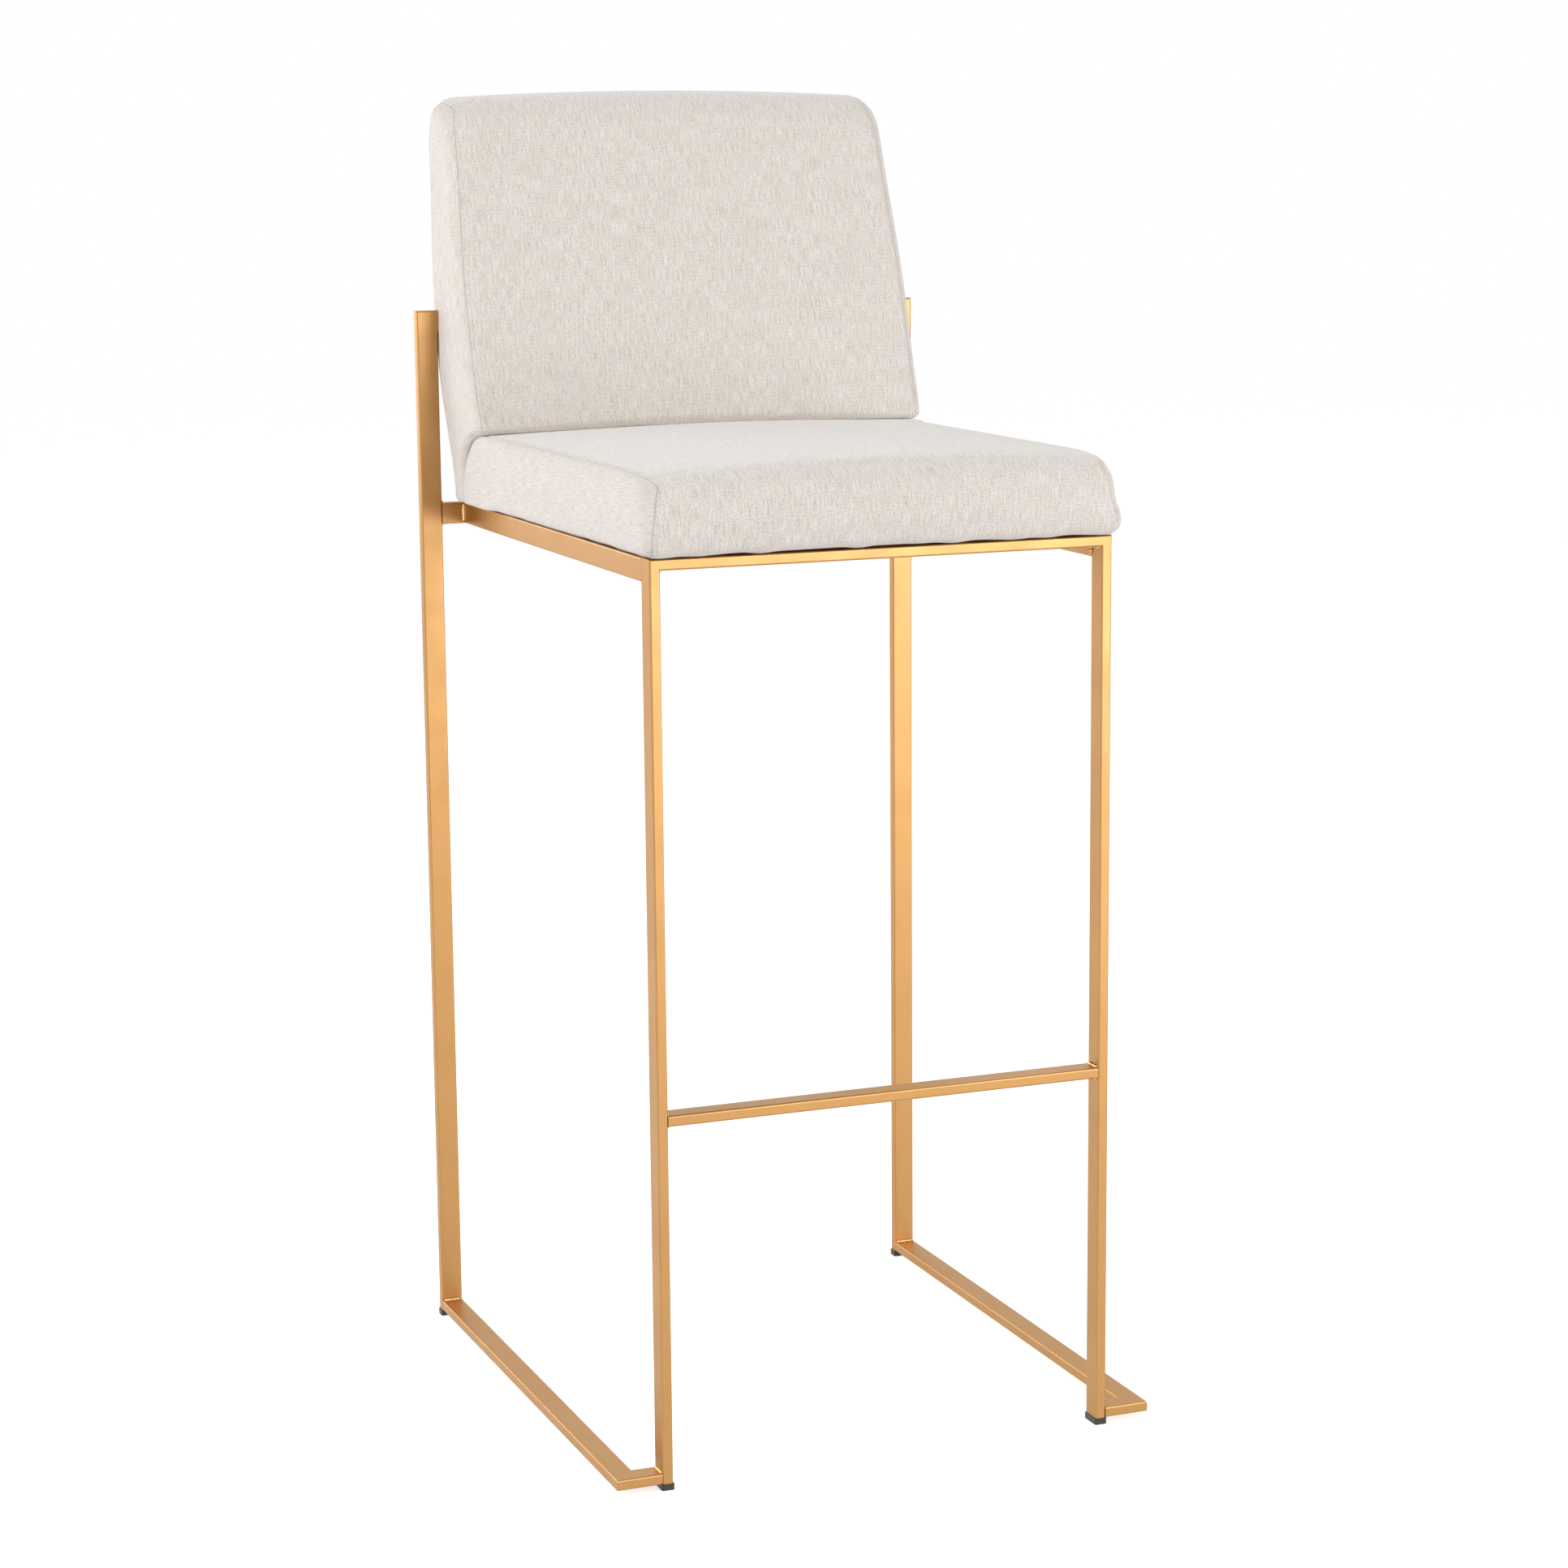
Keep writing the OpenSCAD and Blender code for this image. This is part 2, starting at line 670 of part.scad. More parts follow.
seat_tee_nuts();
seat_bolts();
seat_washers();
back_board();
back_foam();
back_rear_pad();
back_cover();
back_tee_nuts();
back_bolts();
back_washers();
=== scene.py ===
"""Bar stool with footrest: its looks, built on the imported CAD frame.

The welded tube frame, the feet, the boards and the fasteners are the CAD's own nodes and
get their finishes here. The seat and the back are made as padded fabric: a closed surface
worked out from the CAD's boxes, swelled by a cloth simulation, then sewn with grooves and
stitches. Weld beads are laid along the frame's joints. Metres, +Z up, the sitter faces -Y.
"""

import json
import logging
import math
from dataclasses import dataclass, field
from enum import Enum, IntEnum
from typing import Callable, Iterable, Sequence

import bpy
import numpy as np
from mathutils import Matrix, Vector


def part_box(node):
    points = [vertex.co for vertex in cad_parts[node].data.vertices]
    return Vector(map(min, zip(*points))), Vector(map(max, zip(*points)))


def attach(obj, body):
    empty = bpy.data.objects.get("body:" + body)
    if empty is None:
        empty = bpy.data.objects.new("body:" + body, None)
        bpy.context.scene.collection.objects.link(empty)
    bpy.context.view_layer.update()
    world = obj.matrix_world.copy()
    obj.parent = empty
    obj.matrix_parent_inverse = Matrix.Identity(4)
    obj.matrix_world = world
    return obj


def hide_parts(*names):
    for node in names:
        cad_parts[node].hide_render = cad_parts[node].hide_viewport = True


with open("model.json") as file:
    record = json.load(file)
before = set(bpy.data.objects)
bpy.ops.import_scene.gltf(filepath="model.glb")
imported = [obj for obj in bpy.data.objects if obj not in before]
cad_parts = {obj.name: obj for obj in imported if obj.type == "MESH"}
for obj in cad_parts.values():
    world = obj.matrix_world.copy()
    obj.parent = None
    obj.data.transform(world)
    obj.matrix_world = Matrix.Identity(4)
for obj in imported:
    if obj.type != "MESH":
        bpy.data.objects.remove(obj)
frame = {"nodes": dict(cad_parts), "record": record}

LOG = logging.getLogger("bar_stool")
MM = 0.001

Array = np.ndarray
Distance = Callable[[Array], Array]
Box = tuple[Vector, Vector]
Place = tuple[float, float, float]
Wave = tuple[float, float, float]
Zone = tuple[float, float]
Span = tuple[float, float]
Relief = tuple[float, float]


class Side(Enum):
    """Which side of the stool, as the sign of X."""

    LEFT = -1
    RIGHT = 1


class Slot(Enum):
    """The record's material slots."""

    FRAME = "gold_frame"
    FABRIC = "linen_fabric"
    FOOT = "black_foot"
    DUST = "dust_cover"
    FOAM = "foam"
    WOOD = "plywood"
    ZINC = "zinc_steel"


# ---- arithmetic on arrays ----


def ease(t: Array) -> Array:
    """Smooth step: 0 below t = 0, 1 above t = 1, and 3t^2 - 2t^3 between."""
    t = np.clip(t, 0.0, 1.0)
    return t * t * (3.0 - 2.0 * t)


def fade(value: Array, zone: Zone) -> Array:
    """Smooth step over a zone, which is (where it starts, how far it reaches)."""
    return ease((value - zone[0]) / zone[1])


def fillet(a: Array, b: Array, radius: Array | float) -> Array:
    """Distance to what lies inside both a and b, with their common edge rounded.

    Formula: the larger of a and b, held at -radius, plus the length of the vector
    (a + radius, b + radius) with its negative parts cut to 0. That is a true arc
    where the two faces meet at a right angle.

    Args:
        a: Signed distance to the first face, negative inside.
        b: Signed distance to the second face.
        radius: Radius of the rounded edge.

    Returns:
        The combined signed distance.
    """
    outside = np.hypot(np.maximum(a + radius, 0.0), np.maximum(b + radius, 0.0))
    return np.minimum(np.maximum(a, b), -radius) + outside


def slope(distance: Distance, points: Array, step: float = 0.02 * MM) -> Array:
    """Gradient of a distance at each point, by central differences.

    Args:
        distance: The form's signed distance.
        points: Points, n by 3.
        step: Half the span of a difference.

    Returns:
        The gradients, n by 3.
    """
    parts = [(distance(points + axis) - distance(points - axis)) / (2.0 * step)
             for axis in np.eye(3) * step]
    return np.stack(parts, axis=-1)


def settle(points: Array, distance: Distance, rounds: int = 14,
           least_slope: float = 0.2) -> Array:
    """Moves points onto the surface where a distance is 0.

    Formula: Newton's step along the gradient, p - d g / |g|^2, repeated.

    Args:
        points: Start points, n by 3.
        distance: The form's signed distance.
        rounds: Number of steps.
        least_slope: Smallest |g|^2 that a step divides by.

    Returns:
        The moved points.
    """
    for _ in range(rounds):
        grad = slope(distance, points)
        size = np.maximum((grad * grad).sum(-1), least_slope)
        points = points - (distance(points) / size)[:, None] * grad
    return points


def graded(length: float, fine: float, coarse: float, growth: float = 1.2,
           most: int = 400) -> Array:
    """Places 0 to 1 along a length, close together at both ends and wider in the middle.

    Formula: the spacing is multiplied by the growth at each step, from fine to coarse,
    and the places are then stretched to end at the middle; the second half mirrors the
    first.

    Args:
        length: Length to divide.
        fine: Spacing at the ends.
        coarse: Largest spacing.
        growth: Each spacing over the one before.
        most: Most steps in a half.

    Returns:
        The places as shares of the length.
    """
    steps = np.minimum(fine * growth ** np.arange(most), coarse)
    run = np.concatenate([[0.0], np.cumsum(steps)])
    count = int(np.searchsorted(run, length / 2.0))
    half = run[: count + 1] / run[count] * 0.5
    return np.concatenate([half, 1.0 - half[-2::-1]])


def lengths_of(line: Array) -> Array:
    """Lengths of a polyline's pieces."""
    return np.linalg.norm(np.diff(line, axis=0), axis=1)


def along(line: Array, shares: Array) -> Array:
    """Points of a polyline at shares of its length.

    Args:
        line: Points, n by any number of columns.
        shares: 0 to 1 for each wanted point.

    Returns:
        The points, each column interpolated along the length.
    """
    lengths = np.concatenate([[0.0], np.cumsum(lengths_of(line))])
    wanted = shares * lengths[-1]
    return np.stack([np.interp(wanted, lengths, column) for column in line.T], -1)


def unit(vectors: Array, least: float = 0.0) -> Array:
    """Vectors scaled to length 1, or less where they are shorter than the least."""
    return vectors / np.maximum(np.linalg.norm(vectors, axis=1, keepdims=True), least)


def ripple(s: Array, waves: Sequence[Wave]) -> Array:
    """Sum of sines: each wave is (height, length, phase)."""
    return sum(h * np.sin(2.0 * np.pi * s / length + phase) for h, length, phase in waves)


def circle(count: int) -> Array:
    """Angles once round, without the last one, which is the first again."""
    return np.linspace(0.0, 2.0 * np.pi, count + 1)[:-1]


# ---- meshes ----


def quads(index: Array, flip: bool = False) -> Array:
    """Faces between the neighbouring entries of a grid of vertex numbers.

    Args:
        index: Vertex numbers, rows by columns.
        flip: True turns the faces over.

    Returns:
        Faces, n by 4.
    """
    corners = [index[:-1, :-1], index[1:, :-1], index[1:, 1:], index[:-1, 1:]]
    if flip:
        corners = corners[::-1]
    return np.stack([c.ravel() for c in corners], axis=-1)


def make_object(name: str, points: Array, faces: Array | list,
                smooth: bool = True) -> bpy.types.Object:
    """Makes a mesh object at the origin.

    Args:
        name: The piece's name.
        points: Vertices, n by 3.
        faces: Vertex numbers of each face.
        smooth: False leaves the faces flat-shaded.

    Returns:
        The object.
    """
    mesh = bpy.data.meshes.new(name)
    mesh.from_pydata(points.tolist(), [], faces if isinstance(faces, list) else faces.tolist())
    mesh.polygons.foreach_set("use_smooth", np.full(len(mesh.polygons), smooth))
    mesh.update()
    made = bpy.data.objects.new(name, mesh)
    bpy.context.scene.collection.objects.link(made)
    return made


def read_vectors(items: bpy.types.bpy_prop_collection, key: str) -> Array:
    """Reads one vector for each item of a mesh.

    Args:
        items: The mesh's vertices.
        key: Which vector, such as "co" or "normal".

    Returns:
        The vectors, n by 3.
    """
    found = np.empty(len(items) * 3, np.float32)
    items.foreach_get(key, found)
    return found.reshape(-1, 3).astype(float)


def finish_piece(piece: bpy.types.Object, material: bpy.types.Material,
                 replaces: Sequence[str] = ()) -> bpy.types.Object:
    """Dresses a piece and hangs it on the frame's one body.

    Args:
        piece: The finished object.
        material: Its finish.
        replaces: CAD nodes that it stands for.

    Returns:
        The piece.
    """
    piece.data.materials.clear()
    piece.data.materials.append(material)
    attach(piece, "root")
    if replaces:
        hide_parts(*replaces)
    LOG.info("%s: %d vertices, %d faces", piece.name, len(piece.data.vertices),
             len(piece.data.polygons))
    return piece


# ---- finishes ----

Colour = tuple[float, float, float]
Socket = bpy.types.NodeSocket

WHITE: Colour = (1.0, 1.0, 1.0)

# Nearly all values of a noise lie in the wide span, and most of them in the middle one.
NOISE_WIDE: Span = (0.3, 0.7)
NOISE_MIDDLE: Span = (0.35, 0.65)

# A Mix node's sockets by number, as its sockets for numbers and colours share their names.
MIX_NUMBERS_IN, MIX_NUMBERS_OUT = (0, 2, 3), 0
MIX_COLOURS_IN, MIX_COLOURS_OUT = (0, 6, 7), 2


def rgba(colour: Colour) -> tuple[float, float, float, float]:
    """A colour with full alpha."""
    return (*colour, 1.0)


def shaded(colour: Colour, share: float) -> Colour:
    """A colour times a number."""
    return tuple(share * c for c in colour)


class NodeTree:
    """A tree of shader nodes, with short calls that add a node and wire it."""

    def __init__(self, tree: bpy.types.NodeTree) -> None:
        """Takes the tree to work on."""
        self.tree = tree

    def put(self, target: Socket, value: object) -> None:
        """Wires an output into a socket, or sets the socket to a number or colour.

        Args:
            target: The input.
            value: What goes into it.
        """
        if isinstance(value, Socket):
            self.tree.links.new(value, target)
        else:
            target.default_value = value

    def add(self, kind: str, inputs: dict | Iterable = (), output: int | str = 0,
            **settings: object) -> Socket:
        """Adds a node, sets its properties and fills its inputs.

        Args:
            kind: The node's type, without the words that all types begin with.
            inputs: Pairs of an input, by name or number, and what goes into it.
            output: Which output to give back, by name or number.
            settings: The node's properties.

        Returns:
            The output.
        """
        made = self.tree.nodes.new(f"ShaderNode{kind}")
        for key, value in settings.items():
            setattr(made, key, value)
        for key, value in dict(inputs).items():
            self.put(made.inputs[key], value)
        return made.outputs[output]

    def math(self, operation: str, *values: object) -> Socket:
        """A Math node on numbers or outputs."""
        return self.add("Math", enumerate(values), operation=operation)

    def blend(self, share: object, first: object, second: object) -> Socket:
        """A Mix node on two numbers."""
        return self.add("Mix", zip(MIX_NUMBERS_IN, (share, first, second)), MIX_NUMBERS_OUT,
                        data_type="FLOAT")

    def spread(self, source: Socket, span: Span, out: Span = (0.0, 1.0)) -> Socket:
        """A Map Range node, clamped, from one span of values to another."""
        return self.add("MapRange", enumerate((source, *span, *out)))


class NodeSheet(NodeTree):
    """The tree of a new material with a Principled shader."""

    def __init__(self, name: str) -> None:
        """Starts the material.

        Args:
            name: The material's name.
        """
        self.material = bpy.data.materials.new(name)
        self.material.use_nodes = True
        super().__init__(self.material.node_tree)
        self.tree.nodes.clear()
        self.shader = self.tree.nodes.new("ShaderNodeBsdfPrincipled")
        output = self.tree.nodes.new("ShaderNodeOutputMaterial")
        self.put(output.inputs["Surface"], self.shader.outputs[0])

    def finish(self, **values: object) -> bpy.types.Material:
        """Fills the shader's sockets.

        Args:
            values: What goes into each; _ stands for a space in a socket's name.

        Returns:
            The finished material.
        """
        for key, value in values.items():
            self.put(self.shader.inputs[key.replace("_", " ")], value)
        return self.material

    def mix(self, share: object, first: object, second: object,
            blend: str = "MIX") -> Socket:
        """A Mix node on two colours.

        Args:
            share: How much of the second, a number or an output.
            first: A colour or an output.
            second: A colour or an output.
            blend: The node's blend type.

        Returns:
            The colour.
        """
        pair = (rgba(c) if isinstance(c, tuple) else c for c in (first, second))
        return self.add("Mix", zip(MIX_COLOURS_IN, (share, *pair)), MIX_COLOURS_OUT,
                        data_type="RGBA", blend_type=blend)

    def times(self, colour: Socket, by: object) -> Socket:
        """A colour multiplied by another one or by a number."""
        return self.mix(1.0, colour, by, "MULTIPLY")

    def stretch(self, source: Socket, scale: Place) -> Socket:
        """A Mapping node that scales coordinates."""
        return self.add("Mapping", {"Vector": source, "Scale": scale})

    def noise(self, source: Socket, scale: float, detail: float = 3.0,
              roughness: float = 0.55) -> Socket:
        """A Noise texture's value."""
        return self.add("TexNoise", {"Vector": source, "Scale": scale, "Detail": detail,
                                     "Roughness": roughness})

    def cells(self, source: Socket, scale: float) -> Socket:
        """A Voronoi texture's distance to the middle of the cell."""
        return self.add("TexVoronoi", {"Vector": source, "Scale": scale}, "Distance",
                        feature="F1")

    def ramp(self, source: Socket, stops: Sequence[tuple[float, Colour]]) -> Socket:
        """A Color Ramp.

        Args:
            source: The value that it reads.
            stops: Place and colour of each stop.

        Returns:
            The colour.
        """
        made = self.tree.nodes.new("ShaderNodeValToRGB")
        self.put(made.inputs[0], source)
        elements = made.color_ramp.elements
        while len(elements) < len(stops):
            elements.new(0.5)
        for element, (place, colour) in zip(elements, stops):
            element.position = place
            element.color = rgba(colour)
        return made.outputs[0]

    def bump(self, height: Socket, relief: Relief, under: Socket | None = None) -> Socket:
        """A Bump node, on top of another one if given.

        Args:
            height: The height, 0 to 1.
            relief: How deep it is, in metres, and how much of it shows.
            under: The normal of the wider relief that it lies on.

        Returns:
            The normal.
        """
        depth, strength = relief
        below = {} if under is None else {"Normal": under}
        return self.add("Bump", {"Height": height, "Distance": depth, "Strength": strength,
                                 **below})

    def place(self) -> Socket:
        """Object coordinates, in metres in the stool's frame."""
        return self.add("TexCoord", output="Object")


@dataclass(frozen=True)
class GoldCoat:
    """Satin metallic gold coating: fine flake, faint orange peel, slightly uneven gloss."""

    name: str = "satin_gold"
    colour: Colour = (0.452, 0.243, 0.087)
    deep: Colour = (0.400, 0.213, 0.074)
    grazing: Colour = (0.86, 0.79, 0.72)
    roughness: float = 0.36
    uneven: Span = (-0.03, 0.04)
    cloud_scale: float = 22.0
    cloud_shares: Span = (0.0, 0.5)
    flake_scale: float = 2600.0
    flake_shades: Span = (0.93, 1.07)
    flake_relief: Relief = (0.02 * MM, 0.25)
    peel_scale: float = 420.0
    peel_relief: Relief = (0.05 * MM, 0.2)
    lacquer: float = 0.2
    lacquer_roughness: float = 0.15
    lacquer_index: float = 1.5

    def build(self) -> bpy.types.Material:
        """Builds the finish.

        Returns:
            The material: wide clouds shift shade and gloss, flake glints, peel ripples.
        """
        sheet = NodeSheet(self.name)
        place = sheet.place()
        cloud = sheet.noise(place, self.cloud_scale, 2.0)
        flake = sheet.noise(place, self.flake_scale, 1.0)
        peel = sheet.noise(place, self.peel_scale, 2.0)
        base = sheet.mix(sheet.spread(cloud, NOISE_MIDDLE, self.cloud_shares),
                         self.colour, self.deep)
        glint = sheet.spread(flake, NOISE_WIDE, self.flake_shades)
        gloss = sheet.spread(cloud, NOISE_WIDE,
                             tuple(self.roughness + part for part in self.uneven))
        relief = sheet.bump(flake, self.flake_relief, sheet.bump(peel, self.peel_relief))
        return sheet.finish(
            Base_Color=sheet.times(base, glint), Metallic=1.0, Roughness=gloss,
            Specular_Tint=rgba(self.grazing), Coat_Weight=self.lacquer,
            Coat_Roughness=self.lacquer_roughness, Coat_IOR=self.lacquer_index, Normal=relief)


# The weld beads' gold is lighter than the frame's: a painted highlight for the bright spots that
# the bumpy beads catch.
WELD_GOLD_PAINTED_HIGHLIGHT = GoldCoat("weld_gold_painted_highlight", colour=(0.74, 0.46, 0.20), deep=(0.62, 0.36, 0.14),
                     roughness=0.22)


@dataclass(frozen=True)
class LinenCloth:
    """Plain-weave heathered cloth: slubby light and dark threads, over and under."""

    light: Colour = (0.886, 0.832, 0.787)
    middle: Colour = (0.767, 0.709, 0.655)
    dark: Colour = (0.597, 0.533, 0.480)
    shade_places: tuple[float, float, float] = (0.395, 0.50, 0.605)
    thread_detail: float = 2.0
    thread_roughness: float = 0.6
    thread: float = 0.7 * MM
    streak: float = 0.95 * MM
    slub: float = 14.0 * MM
    fleck: float = 1.35 * MM
    top_thread_share: float = 0.26
    warp_share: float = 0.30
    fleck_share: float = 0.44
    cloud_scale: float = 28.0
    cloud_shades: Span = (0.973, 1.018)
    patch_scale: float = 55.0
    warm_patch: Colour = (1.0, 0.999, 0.972)
    cool_patch: Colour = (0.996, 0.992, 1.008)
    fold_edge: float = 3.6 * MM
    line_width: float = 0.9 * MM
    # Painted shade: the multiple of the colour in the seam's groove and at the fold beside it.
    seam_painted_shade: float = 0.70
    fold_painted_shade: float = 0.90
    thread_relief: Relief = (0.2 * MM, 0.5)
    slub_relief: Relief = (0.25 * MM, 0.35)
    roughness: float = 0.93
    sheen: float = 0.7
    sheen_roughness: float = 0.5
    gloss: float = 0.25

    def thread_height(self, sheet: NodeSheet, cloth: Socket, axis: str) -> Socket:
        """Height across the threads that lie side by side along an axis of the map.

        Formula: |sin(pi * place / thread)|, which is 0 between threads.

        Args:
            sheet: The material's nodes.
            cloth: The map.
            axis: "X" or "Y" of the map.

        Returns:
            The height, 0 to 1.
        """
        way = sheet.add("SeparateXYZ", {0: cloth}, axis)
        turn = sheet.math("MULTIPLY", way, math.pi / self.thread)
        return sheet.math("ABSOLUTE", sheet.math("SINE", turn))

    def build(self) -> bpy.types.Material:
        """Builds the finish.

        The map's U runs across the warp and V along it. Each thread has its own shade,
        from noise drawn out along it, and a checker of thread-wide cells puts warp and
        weft on top by turns. The height is the sine of the place across the thread.
        Longer and wider streaks along the warp are the slubs that show from afar.

        Returns:
            The material.
        """
        sheet = NodeSheet("heathered_linen")
        cloth = sheet.add("UVMap", uv_map="fabric")
        wide, long = 1.0 / self.streak, 1.0 / self.slub
        warp, weft, speck = (
            sheet.noise(source, scale, self.thread_detail, self.thread_roughness)
            for source, scale in (
                (sheet.stretch(cloth, (wide, long, 1.0)), 1.0),
                (sheet.stretch(cloth, (long, wide, 1.0)), 1.0), (cloth, 1.0 / self.fleck)))
        over = sheet.add("TexChecker", {"Vector": cloth, "Scale": 1.0 / self.thread}, "Fac")
        across, down = (self.thread_height(sheet, cloth, axis) for axis in "XY")
        tone, relief = (sheet.blend(over, *pair) for pair in ((weft, warp), (down, across)))
        threads, slubs, flecks = (sheet.math("MULTIPLY", value, share) for value, share in (
            (tone, self.top_thread_share), (warp, self.warp_share), (speck, self.fleck_share)))
        mixed = sheet.math("ADD", sheet.math("ADD", threads, slubs), flecks)
        colour = sheet.ramp(mixed, tuple(zip(self.shade_places,
                                             (self.dark, self.middle, self.light))))
        cloud = sheet.noise(cloth, self.cloud_scale, 3.0)
        colour = sheet.times(colour, sheet.spread(cloud, NOISE_WIDE, self.cloud_shades))
        patches = sheet.spread(sheet.noise(cloth, self.patch_scale, 2.0), NOISE_MIDDLE)
        colour = sheet.times(colour, sheet.mix(patches, self.warm_patch, self.cool_patch))
        # Painted shade: the cloth is darkened along the seam's groove and along the fold where the
        # turned-in cloth steps up.
        seam = sheet.add("Attribute", output="Fac", attribute_name="seam")
        fold = sheet.math("SUBTRACT", seam, self.fold_edge)
        for line, shade in ((seam, self.seam_painted_shade), (fold, self.fold_painted_shade)):
            away = sheet.math("ABSOLUTE", line)
            colour = sheet.times(colour, sheet.spread(away, (0.0, self.line_width), (shade, 1.0)))
        weave = sheet.bump(relief, self.thread_relief, sheet.bump(mixed, self.slub_relief))
        return sheet.finish(
            Base_Color=colour, Roughness=self.roughness, Sheen_Weight=self.sheen,
            Sheen_Roughness=self.sheen_roughness, Specular_IOR_Level=self.gloss, Normal=weave)


@dataclass(frozen=True)
class SewingThread:
    """Twisted thread in the cloth's own shade."""

    colour: Colour = (0.66, 0.60, 0.54)
    dark_share: float = 0.8
    twist_scale: float = 3500.0
    twist_relief: Relief = (0.05 * MM, 0.4)
    roughness: float = 0.7
    sheen: float = 0.2

    def build(self) -> bpy.types.Material:
        """Builds the finish.

        Returns:
            The material: fine dark flecks stand for the thread's twist.
        """
        sheet = NodeSheet("sewing_thread")
        twist = sheet.noise(sheet.place(), self.twist_scale, 1.0)
        base = sheet.mix(sheet.spread(twist, NOISE_MIDDLE), self.colour,
                         shaded(self.colour, self.dark_share))
        return sheet.finish(Base_Color=base, Roughness=self.roughness, Sheen_Weight=self.sheen,
                            Normal=sheet.bump(twist, self.twist_relief))


@dataclass(frozen=True)
class MouldedBlack:
    """Black moulded plastic with a fine spark-eroded texture."""

    colour: Colour = (0.018, 0.018, 0.019)
    worn_share: float = 2.6
    worn_span: Span = (0.45, 0.8)
    grain_scale: float = 1800.0
    grain_relief: Relief = (0.06 * MM, 0.35)
    roughness: Span = (0.38, 0.52)

    def build(self) -> bpy.types.Material:
        """Builds the finish.

        Returns:
            The material: the grain's high spots are paler and duller.
        """
        sheet = NodeSheet("moulded_black")
        grain = sheet.noise(sheet.place(), self.grain_scale, 3.0)
        base = sheet.mix(sheet.spread(grain, self.worn_span), self.colour,
                         shaded(self.colour, self.worn_share))
        return sheet.finish(Base_Color=base,
                            Roughness=sheet.spread(grain, NOISE_WIDE, self.roughness),
                            Normal=sheet.bump(grain, self.grain_relief))


@dataclass(frozen=True)
class ZincPlate:
    """Bright zinc on steel, with faint cloudy spangle."""

    colour: Colour = (0.66, 0.67, 0.69)
    dull_share: float = 0.82
    spangle_scale: float = 260.0
    grain_scale: float = 1500.0
    grain_relief: Relief = (0.02 * MM, 0.3)
    roughness: Span = (0.24, 0.36)

    def build(self) -> bpy.types.Material:
        """Builds the finish.

        Returns:
            The material: the spangle shifts shade and gloss over a fine grain.
        """
        sheet = NodeSheet("zinc_plate")
        place = sheet.place()
        cloud = sheet.noise(place, self.spangle_scale, 3.0)
        grain = sheet.noise(place, self.grain_scale, 1.0)
        base = sheet.mix(sheet.spread(cloud, NOISE_MIDDLE), self.colour,
                         shaded(self.colour, self.dull_share))
        return sheet.finish(Base_Color=base, Metallic=1.0,
                            Roughness=sheet.spread(cloud, NOISE_WIDE, self.roughness),
                            Normal=sheet.bump(grain, self.grain_relief))


@dataclass(frozen=True)
class RawPlywood:
    """Raw birch plywood: long grain with darker lines."""

    pale: Colour = (0.66, 0.50, 0.33)
    line: Colour = (0.50, 0.35, 0.21)
    grain_scale: Place = (14.0, 160.0, 160.0)
    grain_detail: float = 5.0
    grain_roughness: float = 0.65
    grain_places: tuple[float, float, float] = (0.38, 0.52, 0.75)
    grain_relief: Relief = (0.1 * MM, 0.4)
    roughness: float = 0.72

    def build(self) -> bpy.types.Material:
        """Builds the finish.

        Returns:
            The material: noise drawn out along X makes the grain.
        """
        sheet = NodeSheet("raw_plywood")
        grain = sheet.noise(sheet.stretch(sheet.place(), self.grain_scale), 1.0,
                            self.grain_detail, self.grain_roughness)
        base = sheet.ramp(grain, tuple(zip(self.grain_places,
                                           (self.line, self.pale, self.pale))))
        return sheet.finish(Base_Color=base, Roughness=self.roughness,
                            Normal=sheet.bump(grain, self.grain_relief))


@dataclass(frozen=True)
class DustCloth:
    """Thin black non-woven cloth with pressed dimples."""

    colour: Colour = (0.022, 0.022, 0.024)
    pale_share: float = 2.4
    pale_span: Span = (0.4, 0.7)
    fibre_scale: Place = (900.0, 300.0, 300.0)
    fibre_detail: float = 4.0
    dimple_scale: float = 650.0
    dimple_relief: Relief = (0.2 * MM, 0.5)
    roughness: float = 0.85

    def build(self) -> bpy.types.Material:
        """Builds the finish.

        Returns:
            The material: pale fibres, and cells for the pressed dimples.
        """
        sheet = NodeSheet("dust_cloth")
        place = sheet.place()
        dimples = sheet.cells(place, self.dimple_scale)
        fibre = sheet.noise(sheet.stretch(place, self.fibre_scale), 1.0, self.fibre_detail)
        base = sheet.mix(sheet.spread(fibre, self.pale_span), self.colour,
                         shaded(self.colour, self.pale_share))
        return sheet.finish(Base_Color=base, Roughness=self.roughness,
                            Normal=sheet.bump(dimples, self.dimple_relief))


@dataclass(frozen=True)
class CutFoam:
    """Pale open-cell foam with small pores."""

    colour: Colour = (0.84, 0.78, 0.58)
    pore_painted_shade: float = 0.7
    pore_scale: float = 700.0
    pore_span: Span = (0.1, 0.6)
    pore_relief: Relief = (0.3 * MM, 0.6)
    roughness: float = 0.95

    def build(self) -> bpy.types.Material:
        """Builds the finish.

        Returns:
            The material: each cell is sunk in its middle and darkened there, a painted shade.
        """
        sheet = NodeSheet("cut_foam")
        pore = sheet.spread(sheet.cells(sheet.place(), self.pore_scale), self.pore_span)
        # Painted shade: the middle of each pore is darker.
        base = sheet.mix(pore, shaded(self.colour, self.pore_painted_shade), self.colour)
        return sheet.finish(Base_Color=base, Roughness=self.roughness,
                            Normal=sheet.bump(pore, self.pore_relief))


# ---- padded fabric ----

AIR_PRESSURE = 4.0
CLOTH_QUALITY = 4
PINNED_FROM = 0.6
TINY = 1e-9


